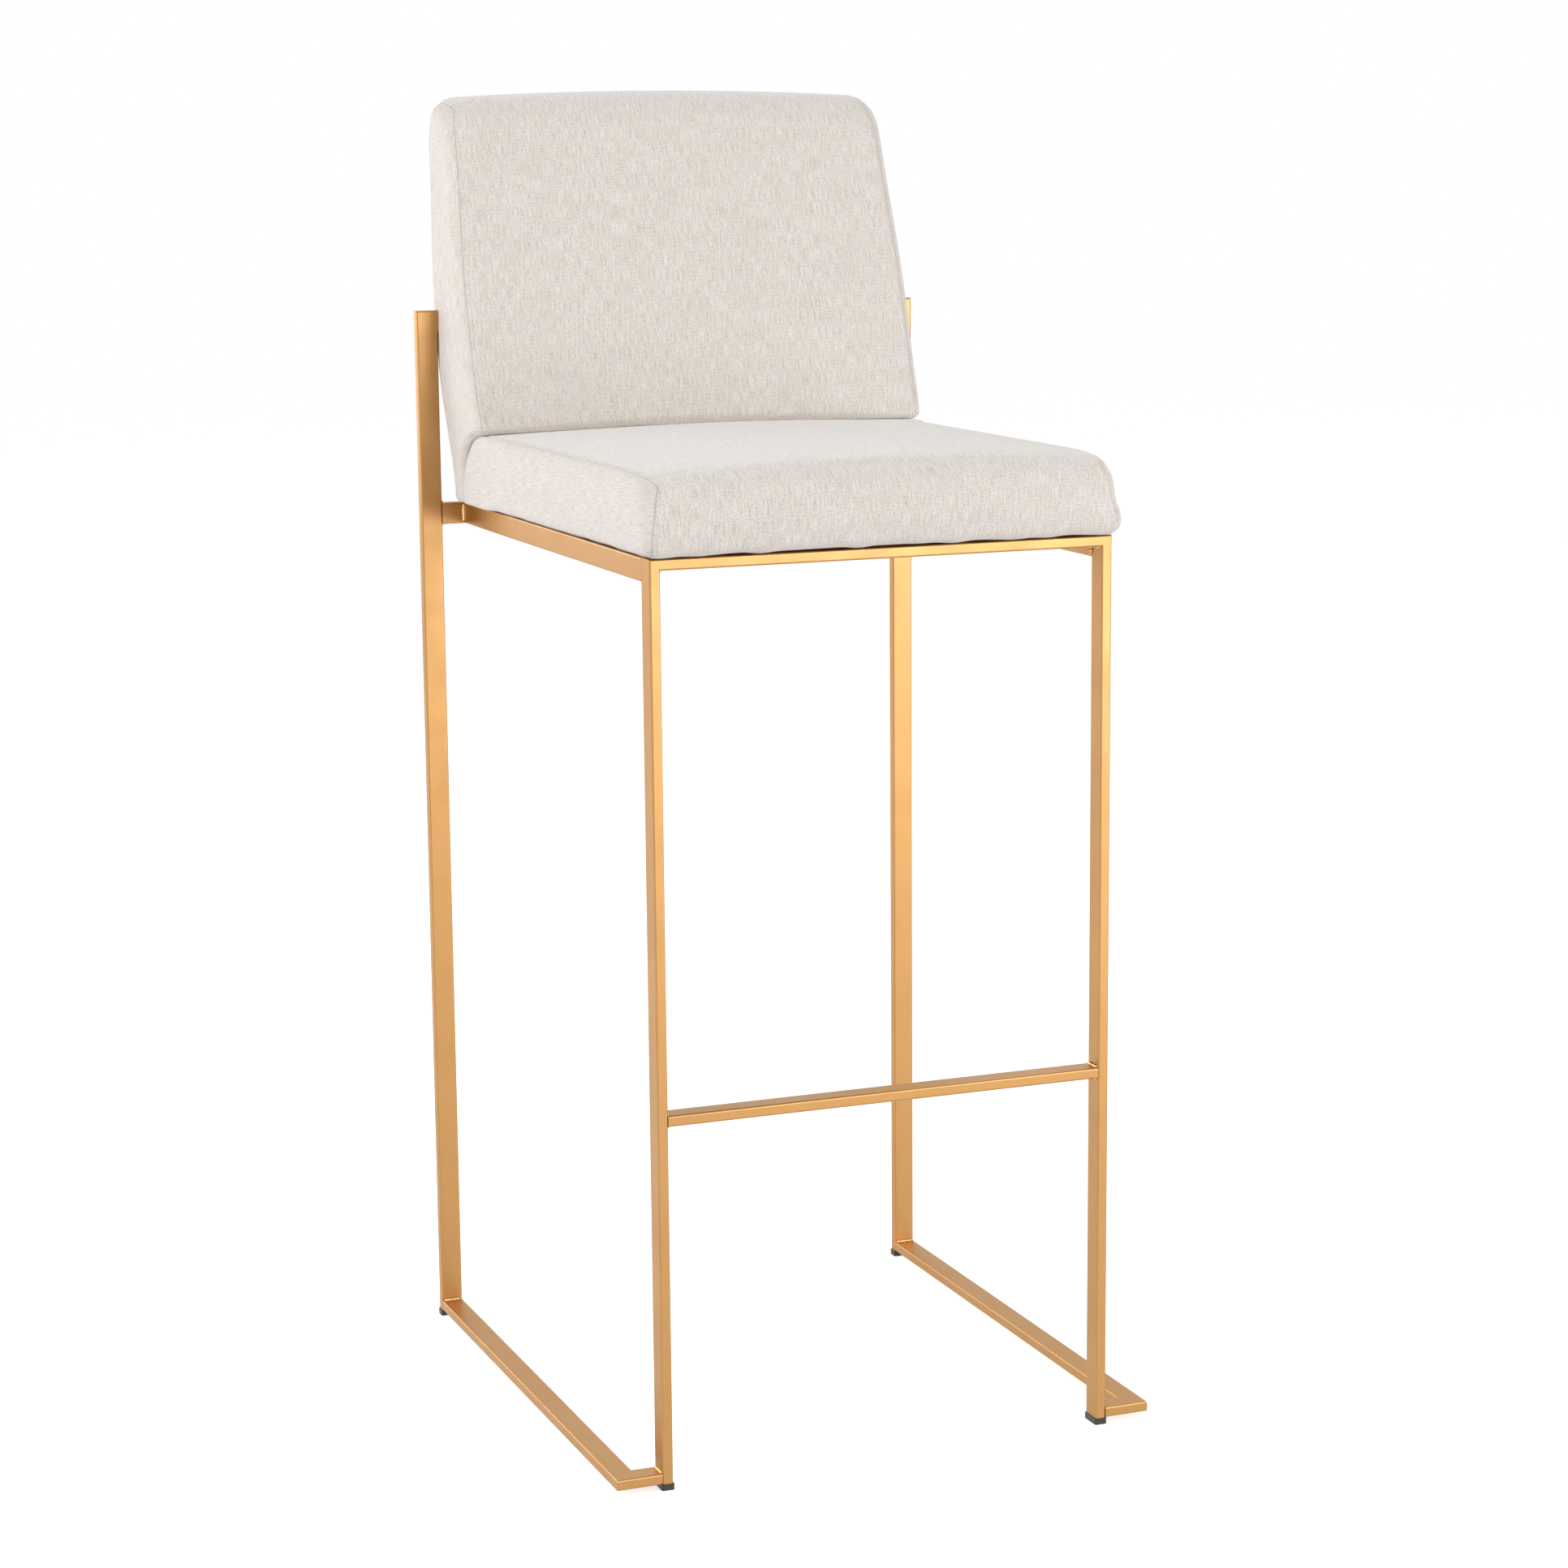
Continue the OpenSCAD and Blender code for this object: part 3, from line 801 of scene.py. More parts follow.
def ring_slots(rows: int, columns: int) -> tuple[Array, Array]:
    """Row and column of each border slot of a patch, once round.

    The way round is up the front (row 0), back along the top, down the rear and
    forward along the bottom (column 0).

    Args:
        rows: Rows of the patch, from front to rear.
        columns: Columns of the patch, from bottom to top.

    Returns:
        The rows and the columns.
    """
    up, back = np.arange(columns - 1), np.arange(rows - 1)
    row = np.concatenate([0 * up, back, 0 * up + rows - 1, rows - 1 - back])
    column = np.concatenate([up, 0 * back + columns - 1, columns - 1 - up, 0 * back])
    return row, column


def patch(bottom: Array, front: Array, top: Array, rear: Array) -> Array:
    """Fills a four-sided outline with a grid (a Coons patch).

    Formula: the blend of bottom and top, plus the blend of front and rear, minus the
    blend of the four corners.

    Args:
        bottom: Points from front to rear, rows by 2.
        front: Points from bottom to top, columns by 2.
        top: Points from front to rear.
        rear: Points from bottom to top.

    Returns:
        Points, rows by columns by 2.
    """
    u = np.linspace(0.0, 1.0, len(bottom))[:, None, None]
    v = np.linspace(0.0, 1.0, len(front))[None, :, None]
    sides = (1 - v) * bottom[:, None] + v * top[:, None] + (1 - u) * front + u * rear
    corners = ((1 - u) * (1 - v) * front[0] + (1 - u) * v * front[-1]
               + u * (1 - v) * rear[0] + u * v * rear[-1])
    return sides - corners


def capsules(name: str, rings: Array, poles: Array) -> bpy.types.Object:
    """One mesh of many closed round bodies.

    Args:
        name: The piece's name.
        rings: Points, bodies by rings by points round by 3; each ring turns about the
            way along the body by the right-hand rule.
        poles: Start and end point of each body, bodies by 2 by 3.

    Returns:
        The object.
    """
    bodies, count, round_, _ = rings.shape
    first = np.arange(bodies)[:, None, None] * (count * round_ + 2)
    index = first + np.arange(count * round_).reshape(count, round_)
    index = np.concatenate([index, index[:, :, :1]], axis=2)
    walls = np.stack([index[:, :-1, :-1], index[:, :-1, 1:], index[:, 1:, 1:],
                      index[:, 1:, :-1]], axis=-1).reshape(-1, 4)
    start = np.broadcast_to(first[:, 0] + count * round_, (bodies, round_))
    ends = np.concatenate([
        np.stack([start, index[:, 0, 1:], index[:, 0, :-1]], -1).reshape(-1, 3),
        np.stack([start + 1, index[:, -1, :-1], index[:, -1, 1:]], -1).reshape(-1, 3)])
    points = np.concatenate([rings.reshape(bodies, -1, 3), poles], axis=1).reshape(-1, 3)
    return make_object(name, points, walls.tolist() + ends.tolist())


def inflate(piece: bpy.types.Object, held: Array, most: float, frames: int = 20) -> Array:
    """Swells a closed piece with air pressure in Blender's cloth simulation.

    Formula for the limit: a move of length d becomes most * tanh(d / most), and is
    then scaled by 1 - held.

    Args:
        piece: The closed mesh.
        held: 0 to 1 for each vertex, how firmly it is held.
        most: Longest move.
        frames: Frames to simulate.

    Returns:
        The new places; the piece itself is left as it was, without the modifier.
    """
    start = read_vectors(piece.data.vertices, "co")
    scene = bpy.context.scene
    pinned = piece.vertex_groups.new(name="held")
    pinned.add(np.flatnonzero(held > PINNED_FROM).tolist(), 1.0, "REPLACE")
    cloth = piece.modifiers.new("padding", "CLOTH")
    cloth.settings.vertex_group_mass = pinned.name
    cloth.settings.quality = CLOTH_QUALITY
    cloth.settings.use_pressure = True
    cloth.settings.uniform_pressure_force = AIR_PRESSURE
    cloth.settings.effector_weights.gravity = 0.0
    cloth.collision_settings.use_collision = False
    cloth.point_cache.frame_start, cloth.point_cache.frame_end = 1, frames
    for step in range(1, frames + 1):
        scene.frame_set(step)
    swelled = piece.evaluated_get(bpy.context.evaluated_depsgraph_get())
    move = read_vectors(swelled.data.vertices, "co") - start
    piece.modifiers.remove(cloth)
    piece.vertex_groups.remove(pinned)
    scene.frame_set(1)
    size = np.linalg.norm(move, axis=1, keepdims=True)
    LOG.info("%s: cloth moved %.1f mm at most", piece.name, size.max() / MM)
    limited = most * np.tanh(size / most) / np.maximum(size, TINY)
    return start + move * limited * (1.0 - held)[:, None]


@dataclass(frozen=True)
class SeamShape:
    """Sizes of a sewn seam, of the turned-in cloth beside it and of its row of stitches."""

    depth: float = 0.8 * MM
    width: float = 1.5 * MM
    step: float = 0.35 * MM
    step_rise: Zone = (0.6 * MM, 1.2 * MM)
    step_fall: Zone = (3.4 * MM, 1.6 * MM)
    row: float = 2.1 * MM
    dimple: float = 0.12 * MM
    dimple_width: float = 0.9 * MM
    puckers: tuple[Wave, ...] = ((0.22, 0.0131, 0.4), (0.16, 0.0073, 2.1), (0.2, 0.037, 5.0))

    def lift(self, s: Array, way: Array) -> Array:
        """How far the seam raises the cloth, along its normal.

        Formula: minus depth * exp(-(s / width)^2) at the seam, plus a low step over the
        turned-in cloth, minus a small dimple along the row, all times 1 plus the puckers.

        Args:
            s: Distance from the seam, negative on the side panels.
            way: How far along the seam, in metres.

        Returns:
            The lift, negative inwards.
        """
        groove = -self.depth * np.exp(-(s / self.width) ** 2)
        step = self.step * (fade(s, self.step_rise) - fade(s, self.step_fall))
        dimple = -self.dimple * np.exp(-((s - self.row) / self.dimple_width) ** 2)
        return (groove + step + dimple) * (1.0 + ripple(way, self.puckers))


@dataclass(frozen=True)
class StitchShape:
    """Sizes of one stitch: half a length, a radius, and how it dips at its ends."""

    pitch: float = 3.7 * MM
    reach: float = 1.4 * MM
    thick: float = 0.17 * MM
    rise: float = 0.03 * MM
    dip: float = 0.3 * MM
    pole_dip: float = 0.2 * MM
    last_ring: float = 0.93
    rings: int = 7
    points_round: int = 6

    def bodies(self, line: Array, normal: Array) -> tuple[Array, Array]:
        """Rings and poles of the stitches along a line.

        Formula: with s from -1 to 1 along a stitch, its middle line is raised by
        rise - dip * s^4, and its radius is thick * sqrt(1 - s^6).

        Args:
            line: Points of the line, n by 3.
            normal: The cloth's normal at each.

        Returns:
            The rings and poles, for capsules.
        """
        count = int(lengths_of(line).sum() / self.pitch)
        shares = (np.arange(count) + 0.5) / count
        centre = along(line, shares)
        up = unit(along(np.column_stack([line, normal * MM]), shares)[:, 3:])
        ahead = unit(np.gradient(centre, axis=0))
        beside = np.cross(up, ahead)
        s = np.linspace(-self.last_ring, self.last_ring, self.rings)
        turn = circle(self.points_round)
        radius = self.thick * np.sqrt(1.0 - s ** 6)
        spine = (centre[:, None] + ahead[:, None] * (s * self.reach)[:, None]
                 + up[:, None] * (self.rise - self.dip * s ** 4)[:, None])
        ring = (beside[:, None] * np.cos(turn)[:, None]
                + np.cross(ahead, beside)[:, None] * np.sin(turn)[:, None])
        poles = [centre + way * ahead * self.reach - up * self.pole_dip for way in (-1.0, 1.0)]
        return spine[:, :, None] + ring[:, None] * radius[:, None, None], np.stack(poles, axis=1)


@dataclass
class Cushion:
    """A padded piece: a band of fabric round its side outline, and a panel at each side.

    The band is a grid of places across by places round the outline, closed round. Each
    side panel is a grid that shares the band's border, so the sewn seam is a line of the
    mesh.
    """

    name: str
    replaces: tuple[str, ...]
    swell: float = 4.0 * MM
    fine: float = 1.15 * MM
    coarse: float = 7.0 * MM
    outline_fine: float = 0.8 * MM
    seam: SeamShape = SeamShape()
    stitches: StitchShape = StitchShape()
    edge_roll: float = 13.0 * MM
    seam_turn: float = 34.0
    seam_hold: float = 0.65
    seam_hold_width: float = 12.0 * MM
    pucker_tilt: float = 1.3
    panel_axes: tuple[int, int] = (2, 1)
    panel_map_start: float = 0.7
    panel_least_outward: float = 0.05
    band: Array = field(init=False, repr=False)
    caps: tuple[Array, Array] = field(init=False, repr=False)
    points: Array = field(init=False, repr=False)
    piece: bpy.types.Object = field(init=False, repr=False)

    def distance(self, points: Array) -> Array:
        """Signed distance to the cushion's surface at rest."""
        raise NotImplementedError

    def outline(self) -> tuple[Array, Array, Array, Array]:
        """Bottom, front, top and rear of the side outline, as points (y, z)."""
        raise NotImplementedError

    def half_width(self, y: Array, z: Array) -> Array:
        """Half width of the side face at points of the side view."""
        raise NotImplementedError

    def held(self, points: Array) -> Array:
        """How firmly each point is held by the board, the frame and the other cushion."""
        raise NotImplementedError

    def stitched(self, line: Array) -> Array:
        """Which points of a seam line carry stitches, as a mask."""
        raise NotImplementedError

    def keep_clear(self, points: Array) -> Array:
        """Moves points out of the neighbouring pieces."""
        raise NotImplementedError

    def lay_out(self) -> None:
        """Works out the start surface and its vertex numbers.

        The seam lies part of the way round the rolled edge: at half width - roll +
        roll * sin(turn). The side panel starts there and goes on round the roll.
        """
        bottom, front, top, rear = self.outline()
        sides = patch(bottom, front, top, rear)
        rows, columns = ring_slots(len(bottom), len(front))
        ring = sides[rows, columns]
        roll, turn = self.edge_roll, math.radians(self.seam_turn)
        seam = self.half_width(*ring.T) - roll * (1.0 - math.sin(turn))
        across = 2.0 * graded(2.0 * seam.max(), self.fine, self.coarse) - 1.0
        band = np.empty((len(across), len(ring), 3))
        band[..., 0] = across[:, None] * seam
        band[..., 1:] = ring
        self.band = np.arange(band.size // 3).reshape(band.shape[:2])
        inner = sides[1:-1, 1:-1].reshape(-1, 2)
        edge = np.linalg.norm(inner[:, None] - ring[None], axis=-1).min(axis=1)
        left = np.maximum(roll * math.cos(turn) - edge, 0.0)
        bulged = self.half_width(*inner.T) - roll + np.sqrt(roll ** 2 - left ** 2)
        caps, parts = [], [band.reshape(-1, 3)]
        for number, end in enumerate((0, -1)):
            index = np.empty(sides.shape[:2], int)
            index[rows, columns] = self.band[end]
            first = self.band.size + number * len(inner)
            index[1:-1, 1:-1] = first + np.arange(len(inner)).reshape(
                len(bottom) - 2, len(front) - 2)
            caps.append(index)
            parts.append(np.column_stack([np.sign(across[end]) * bulged, inner]))
        self.caps = (caps[0], caps[1])
        self.points = settle(np.concatenate(parts), self.distance)

    def closed_band(self) -> Array:
        """The band's vertex numbers with its first column again at the end."""
        return np.concatenate([self.band, self.band[:, :1]], axis=1)

    def faces(self) -> Array:
        """All faces, outward: the band, then the left panel, then the right one."""
        return np.concatenate([quads(self.closed_band()), quads(self.caps[0], flip=True),
                               quads(self.caps[1])])

    def across_lengths(self) -> Array:
        """Measures the cloth from the left seam across the band.

        Returns:
            The length to each point of the band.
        """
        rows = self.points[self.band]
        steps = np.linalg.norm(np.diff(rows, axis=0), axis=-1)
        return np.concatenate([np.zeros((1, rows.shape[1])), np.cumsum(steps, axis=0)])

    def seam_distance(self) -> Array:
        """Measures how far each vertex is from the nearest seam.

        Returns:
            The distances, negative on the side panels.
        """
        lengths = self.across_lengths()
        found = np.empty(len(self.points))
        found[self.band] = np.minimum(lengths, lengths[-1] - lengths)
        for number, cap in enumerate(self.caps):
            seam = self.points[self.band[-number]]
            inner = cap[1:-1, 1:-1].ravel()
            gaps = np.linalg.norm(self.points[inner][:, None] - seam[None], axis=-1)
            found[inner] = -gaps.min(axis=1)
        return found

    def normals(self) -> Array:
        """Puts the present places into the mesh and reads its normals.

        Returns:
            The vertex normals, n by 3.
        """
        mesh = self.piece.data
        mesh.vertices.foreach_set("co", self.points.astype(np.float32).ravel())
        mesh.update()
        return read_vectors(mesh.vertices, "normal")

    def sew(self) -> None:
        """Pulls the seams in and raises the turned-in cloth beside them."""
        way = self.points[:, 1] + self.pucker_tilt * self.points[:, 2]
        lift = self.seam.lift(self.seam_distance(), way)
        self.points = self.points + self.normals() * lift[:, None]

    def map_cloth(self) -> None:
        """Gives the piece its map: metres of cloth across and along, for every corner.

        The band is unrolled. A side panel is laid flat, and its rolled edge is turned
        outward by the depth of the roll.
        """
        mesh = self.piece.data
        across = self.across_lengths()
        across = across - across[-1:] / 2.0
        steps = np.linalg.norm(np.diff(self.points[self.closed_band()], axis=1), axis=-1)
        down = np.concatenate([np.zeros((len(steps), 1)), np.cumsum(steps, axis=1)], axis=1)
        closed = np.concatenate([across, across[:, :1]], axis=1)
        grid = np.stack([closed, down], -1)
        corners = [grid[:-1, :-1], grid[1:, :-1], grid[1:, 1:], grid[:-1, 1:]]
        parts = [np.stack([c.reshape(-1, 2) for c in corners], axis=1).reshape(-1, 2)]
        outward = unit(self.normals()[:, self.panel_axes], self.panel_least_outward)
        rolled = self.half_width(*self.points[:, 1:].T) - np.abs(self.points[:, 0])
        flat = self.points[:, self.panel_axes] + outward * np.maximum(rolled, 0.0)[:, None]
        for number, cap in enumerate(self.caps):
            order = quads(cap, flip=number == 0).ravel()
            parts.append(flat[order] + (self.panel_map_start + number, 0.0))
        layer = mesh.uv_layers.new(name="fabric")
        layer.data.foreach_set("uv", np.concatenate(parts).astype(np.float32).ravel())
        stored = mesh.attributes.new("seam", "FLOAT", "POINT")
        stored.data.foreach_set("value", self.seam_distance().astype(np.float32))

    def seam_line(self, side: Side, away: float) -> tuple[Array, Array]:
        """Follows the band at a distance from a seam.

        Args:
            side: Which seam.
            away: The distance over the cloth.

        Returns:
            Points and normals of the line.
        """
        lengths, normals = self.across_lengths(), self.normals()
        index = self.band
        if side is Side.RIGHT:
            lengths, index = (lengths[-1] - lengths)[::-1], index[::-1]
        row = np.clip((lengths < away).sum(axis=0) - 1, 0, len(index) - 2)
        column = np.arange(index.shape[1])
        low, high = lengths[row, column], lengths[row + 1, column]
        share = ((away - low) / np.maximum(high - low, TINY))[:, None]
        ends = index[row, column], index[row + 1, column]
        line, normal = (a[ends[0]] * (1 - share) + a[ends[1]] * share
                        for a in (self.points, normals))
        return line, unit(normal)

    def stitch(self, side: Side, material: bpy.types.Material) -> None:
        """Lays a row of stitches beside a seam, each a small capsule.

        Args:
            side: Which seam.
            material: Finish of the thread.
        """
        line, normal = self.seam_line(side, self.seam.row)
        shown = self.stitched(line)
        made = capsules(f"{self.name}_stitches_{side.name.lower()}",
                        *self.stitches.bodies(line[shown], normal[shown]))
        finish_piece(made, material)

    def build(self, cloth: bpy.types.Material, thread: bpy.types.Material) -> None:
        """Makes the cushion, swells it, sews it and dresses it.

        Args:
            cloth: Finish of the fabric.
            thread: Finish of the stitches.
        """
        self.lay_out()
        self.piece = make_object(self.name, self.points, self.faces())
        near_seam = np.exp(-(self.seam_distance() / self.seam_hold_width) ** 2)
        held = np.maximum(self.held(self.points), self.seam_hold * near_seam)
        self.points = inflate(self.piece, held, self.swell)
        self.sew()
        self.points = self.keep_clear(self.points)
        self.normals()
        self.map_cloth()
        finer = self.piece.modifiers.new("finer", "SUBSURF")
        finer.levels = finer.render_levels = 1
        finish_piece(self.piece, cloth, self.replaces)
        for side in Side:
            self.stitch(side, thread)


@dataclass
class SeatCushion(Cushion):
    """The seat: a flat box of padding with a rolled front and a rounded rear end.

    A zone is (where it starts, how far it reaches) along the way that a value fades in.
    """

    crown: float = 6.0 * MM
    settled: float = 3.5 * MM
    front_bulge: float = 3.5 * MM
    splay: float = 1.6 * MM
    splay_from: float = 0.05
    front_roll: float = 15.0 * MM
    front_roll_side: float = 31.0 * MM
    front_roll_zone: Zone = (-58.0 * MM, 54.0 * MM)
    rear_roll: float = 56.0 * MM
    rear_under_roll: float = 5.0 * MM
    under_roll: float = 10.5 * MM
    under_roll_zone: Zone = (0.2, 0.3)
    side_roll: float = 12.0 * MM
    corner_roll: float = 25.0 * MM
    corner_zone: Zone = (0.0, 70.0 * MM)
    rear_edge: float = 3.5 * MM
    rear_edge_zone: Zone = (-98.0 * MM, 36.0 * MM)
    rear_splay: float = 3.0 * MM
    rear_splay_zone: Zone = (-150.0 * MM, 110.0 * MM)
    under_gap: float = 0.15 * MM
    front_lift: float = 1.15 * MM
    front_waves: tuple[Wave, ...] = ((0.35 * MM, 0.31, 2.2), (0.45 * MM, 0.071, 0.6),
                                     (0.45 * MM, 0.041, 2.0), (0.25 * MM, 0.027, 4.1))
    front_lift_zone: Zone = (-34.0 * MM, 20.0 * MM)
    side_lift: float = 0.35 * MM
    side_waves: tuple[Wave, ...] = ((0.45 * MM, 0.31, 4.6), (0.25 * MM, 0.057, 1.0))
    side_lift_zone: Zone = (-20.0 * MM, 12.0 * MM)
    outline_up: float = 3.6 * MM
    board_zone: Zone = (-22.0 * MM, 16.0 * MM)
    back_zone: Zone = (-72.0 * MM, 20.0 * MM)
    first_stitch: float = 9.0 * MM
    dust_zone: float = 4.0 * MM
    dust_gap: float = 0.3 * MM
    rail_gap: float = 0.1 * MM
    low: Vector = field(init=False)
    high: Vector = field(init=False)

    def __post_init__(self) -> None:
        """Takes the size from the CAD's cover."""
        self.low, self.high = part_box("seat_cover")

    def half_width(self, y: Array, z: Array) -> Array:
        """Half width of the side face, which splays out low down and towards the rear.

        Args:
            y: Y of the points.
            z: Z of the points.

        Returns:
            The half widths.
        """
        up = np.clip((z - self.low.z) / (self.high.z - self.low.z), 0.0, 1.0)
        rear = fade(y - self.high.y, self.rear_splay_zone)
        return self.high.x + self.splay * (self.splay_from - up) + self.rear_splay * rear

    def under(self, x: Array, y: Array) -> Array:
        """Height of the underside: flat on the rails, lifted in waves at its edges.

        Formula: the CAD's underside, plus a wave along X that fades in before the front
        edge, plus a wave along Y that fades in at the sides.

        Args:
            x: X of the points.
            y: Y of the points.

        Returns:
            The heights.
        """
        front = np.maximum(self.front_lift + ripple(x, self.front_waves), 0.0)
        side = np.maximum(self.side_lift + ripple(y, self.side_waves), 0.0)
        return (self.low.z + self.under_gap
                + front * fade(self.low.y - y, self.front_lift_zone)
                + side * fade(np.abs(x) - self.high.x, self.side_lift_zone))

    def profile(self, points: Array) -> Array:
        """Signed distance to the side outline, carried across without end.

        Formula: box faces with rounded ends, the front one rounder near the sides. The
        top is raised by crown * (1 - u^2) * (1 - v^4), and the front pushed out by
        bulge * (1 - u^2) * (1 - w^2), with u across, v along and w up, each -1 to 1.

        Args:
            points: Points, n by 3.

        Returns:
            The distances.
        """
        x, y, z = points.T
        u = np.clip(x / self.high.x, -1.0, 1.0)
        v = 2.0 * np.clip((y - self.low.y) / (self.high.y - self.low.y), 0, 1) - 1.0
        w = 2.0 * np.clip((z - self.low.z) / (self.high.z - self.low.z), 0, 1) - 1.0
        crown = self.crown * (1.0 - u ** 2) * (1.0 - v ** 4)
        bulge = self.front_bulge * (1.0 - u ** 2) * (1.0 - w ** 2)
        top = z - (self.high.z - self.settled) - crown
        bottom = self.under(x, y) - z
        front = self.low.y - bulge - y
        rear = y - self.high.y
        near_side = fade(np.abs(x) - self.high.x, self.front_roll_zone)
        front_roll = self.front_roll + (self.front_roll_side - self.front_roll) * near_side
        return np.maximum.reduce([
            fillet(front, top, front_roll), fillet(rear, top, self.rear_roll),
            fillet(front, bottom, self.under_roll), fillet(rear, bottom, self.rear_under_roll)])

    def distance(self, points: Array) -> Array:
        """Signed distance: the side outline, within sides that splay out low down.

        Formula: the fillet of both, whose radius goes from the lower edge's to the upper
        one's, the larger near the front corners, and to a small one at the rear end.

        Args:
            points: Points, n by 3.

        Returns:
            The distances.
        """
        x, y, z = points.T
        up = (z - self.low.z) / (self.high.z - self.low.z)
        side = np.abs(x) - self.half_width(y, z)
        near_front = 1.0 - fade(y - self.low.y, self.corner_zone)
        upper = self.side_roll + (self.corner_roll - self.side_roll) * near_front
        roll = self.under_roll + (upper - self.under_roll) * fade(up, self.under_roll_zone)
        roll = roll + (self.rear_edge - roll) * fade(y - self.high.y, self.rear_edge_zone)
        return fillet(self.profile(points), side, roll)

    def outline(self) -> tuple[Array, Array, Array, Array]:
        """Lays out the side outline, which is the CAD box's.

        Returns:
            Points (y, z) of its bottom, front, top and rear.
        """
        deep, tall = self.high.y - self.low.y, self.high.z - self.low.z
        y = self.low.y + graded(deep, self.outline_fine, self.coarse) * deep
        z = self.low.z + graded(tall, self.outline_fine, self.outline_up) * tall
        lines = [np.column_stack([y, np.full(len(y), h)]) for h in (self.low.z, self.high.z)]
        ends = [np.column_stack([np.full(len(z), d), z]) for d in (self.low.y, self.high.y)]
        return lines[0], ends[0], lines[1], ends[1]

    def held(self, points: Array) -> Array:
        """Held where it lies on the board and frame, and where the back sits on it.

        Args:
            points: Points, n by 3.

        Returns:
            0 free to 1 held.
        """
        under = fade(self.low.z - points[:, 2], self.board_zone)
        back = fade(points[:, 1] - self.high.y, self.back_zone)
        return np.maximum(under, back)

    def stitched(self, line: Array) -> Array:
        """Stitches run up the front corner and back along the side's top edge."""
        return ((line[:, 2] > self.low.z + self.first_stitch)
                & (line[:, 1] < self.high.y - self.rear_roll))

    def keep_clear(self, points: Array) -> Array:
        """Makes room for the dust cover under the seat, and stays above the rails.

        Args:
            points: Points, n by 3.

        Returns:
            The points, raised where they were too low.
        """
        low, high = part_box("seat_dust_cover")
        x, y, z = points.T
        inside = ((np.abs(x) < high.x) & (y > low.y) & (y < high.y)
                  & (z < high.z + self.dust_zone))
        lowest = np.where(inside, high.z + self.dust_gap, self.low.z + self.rail_gap)
        return np.column_stack([x, y, np.maximum(z, lowest)])


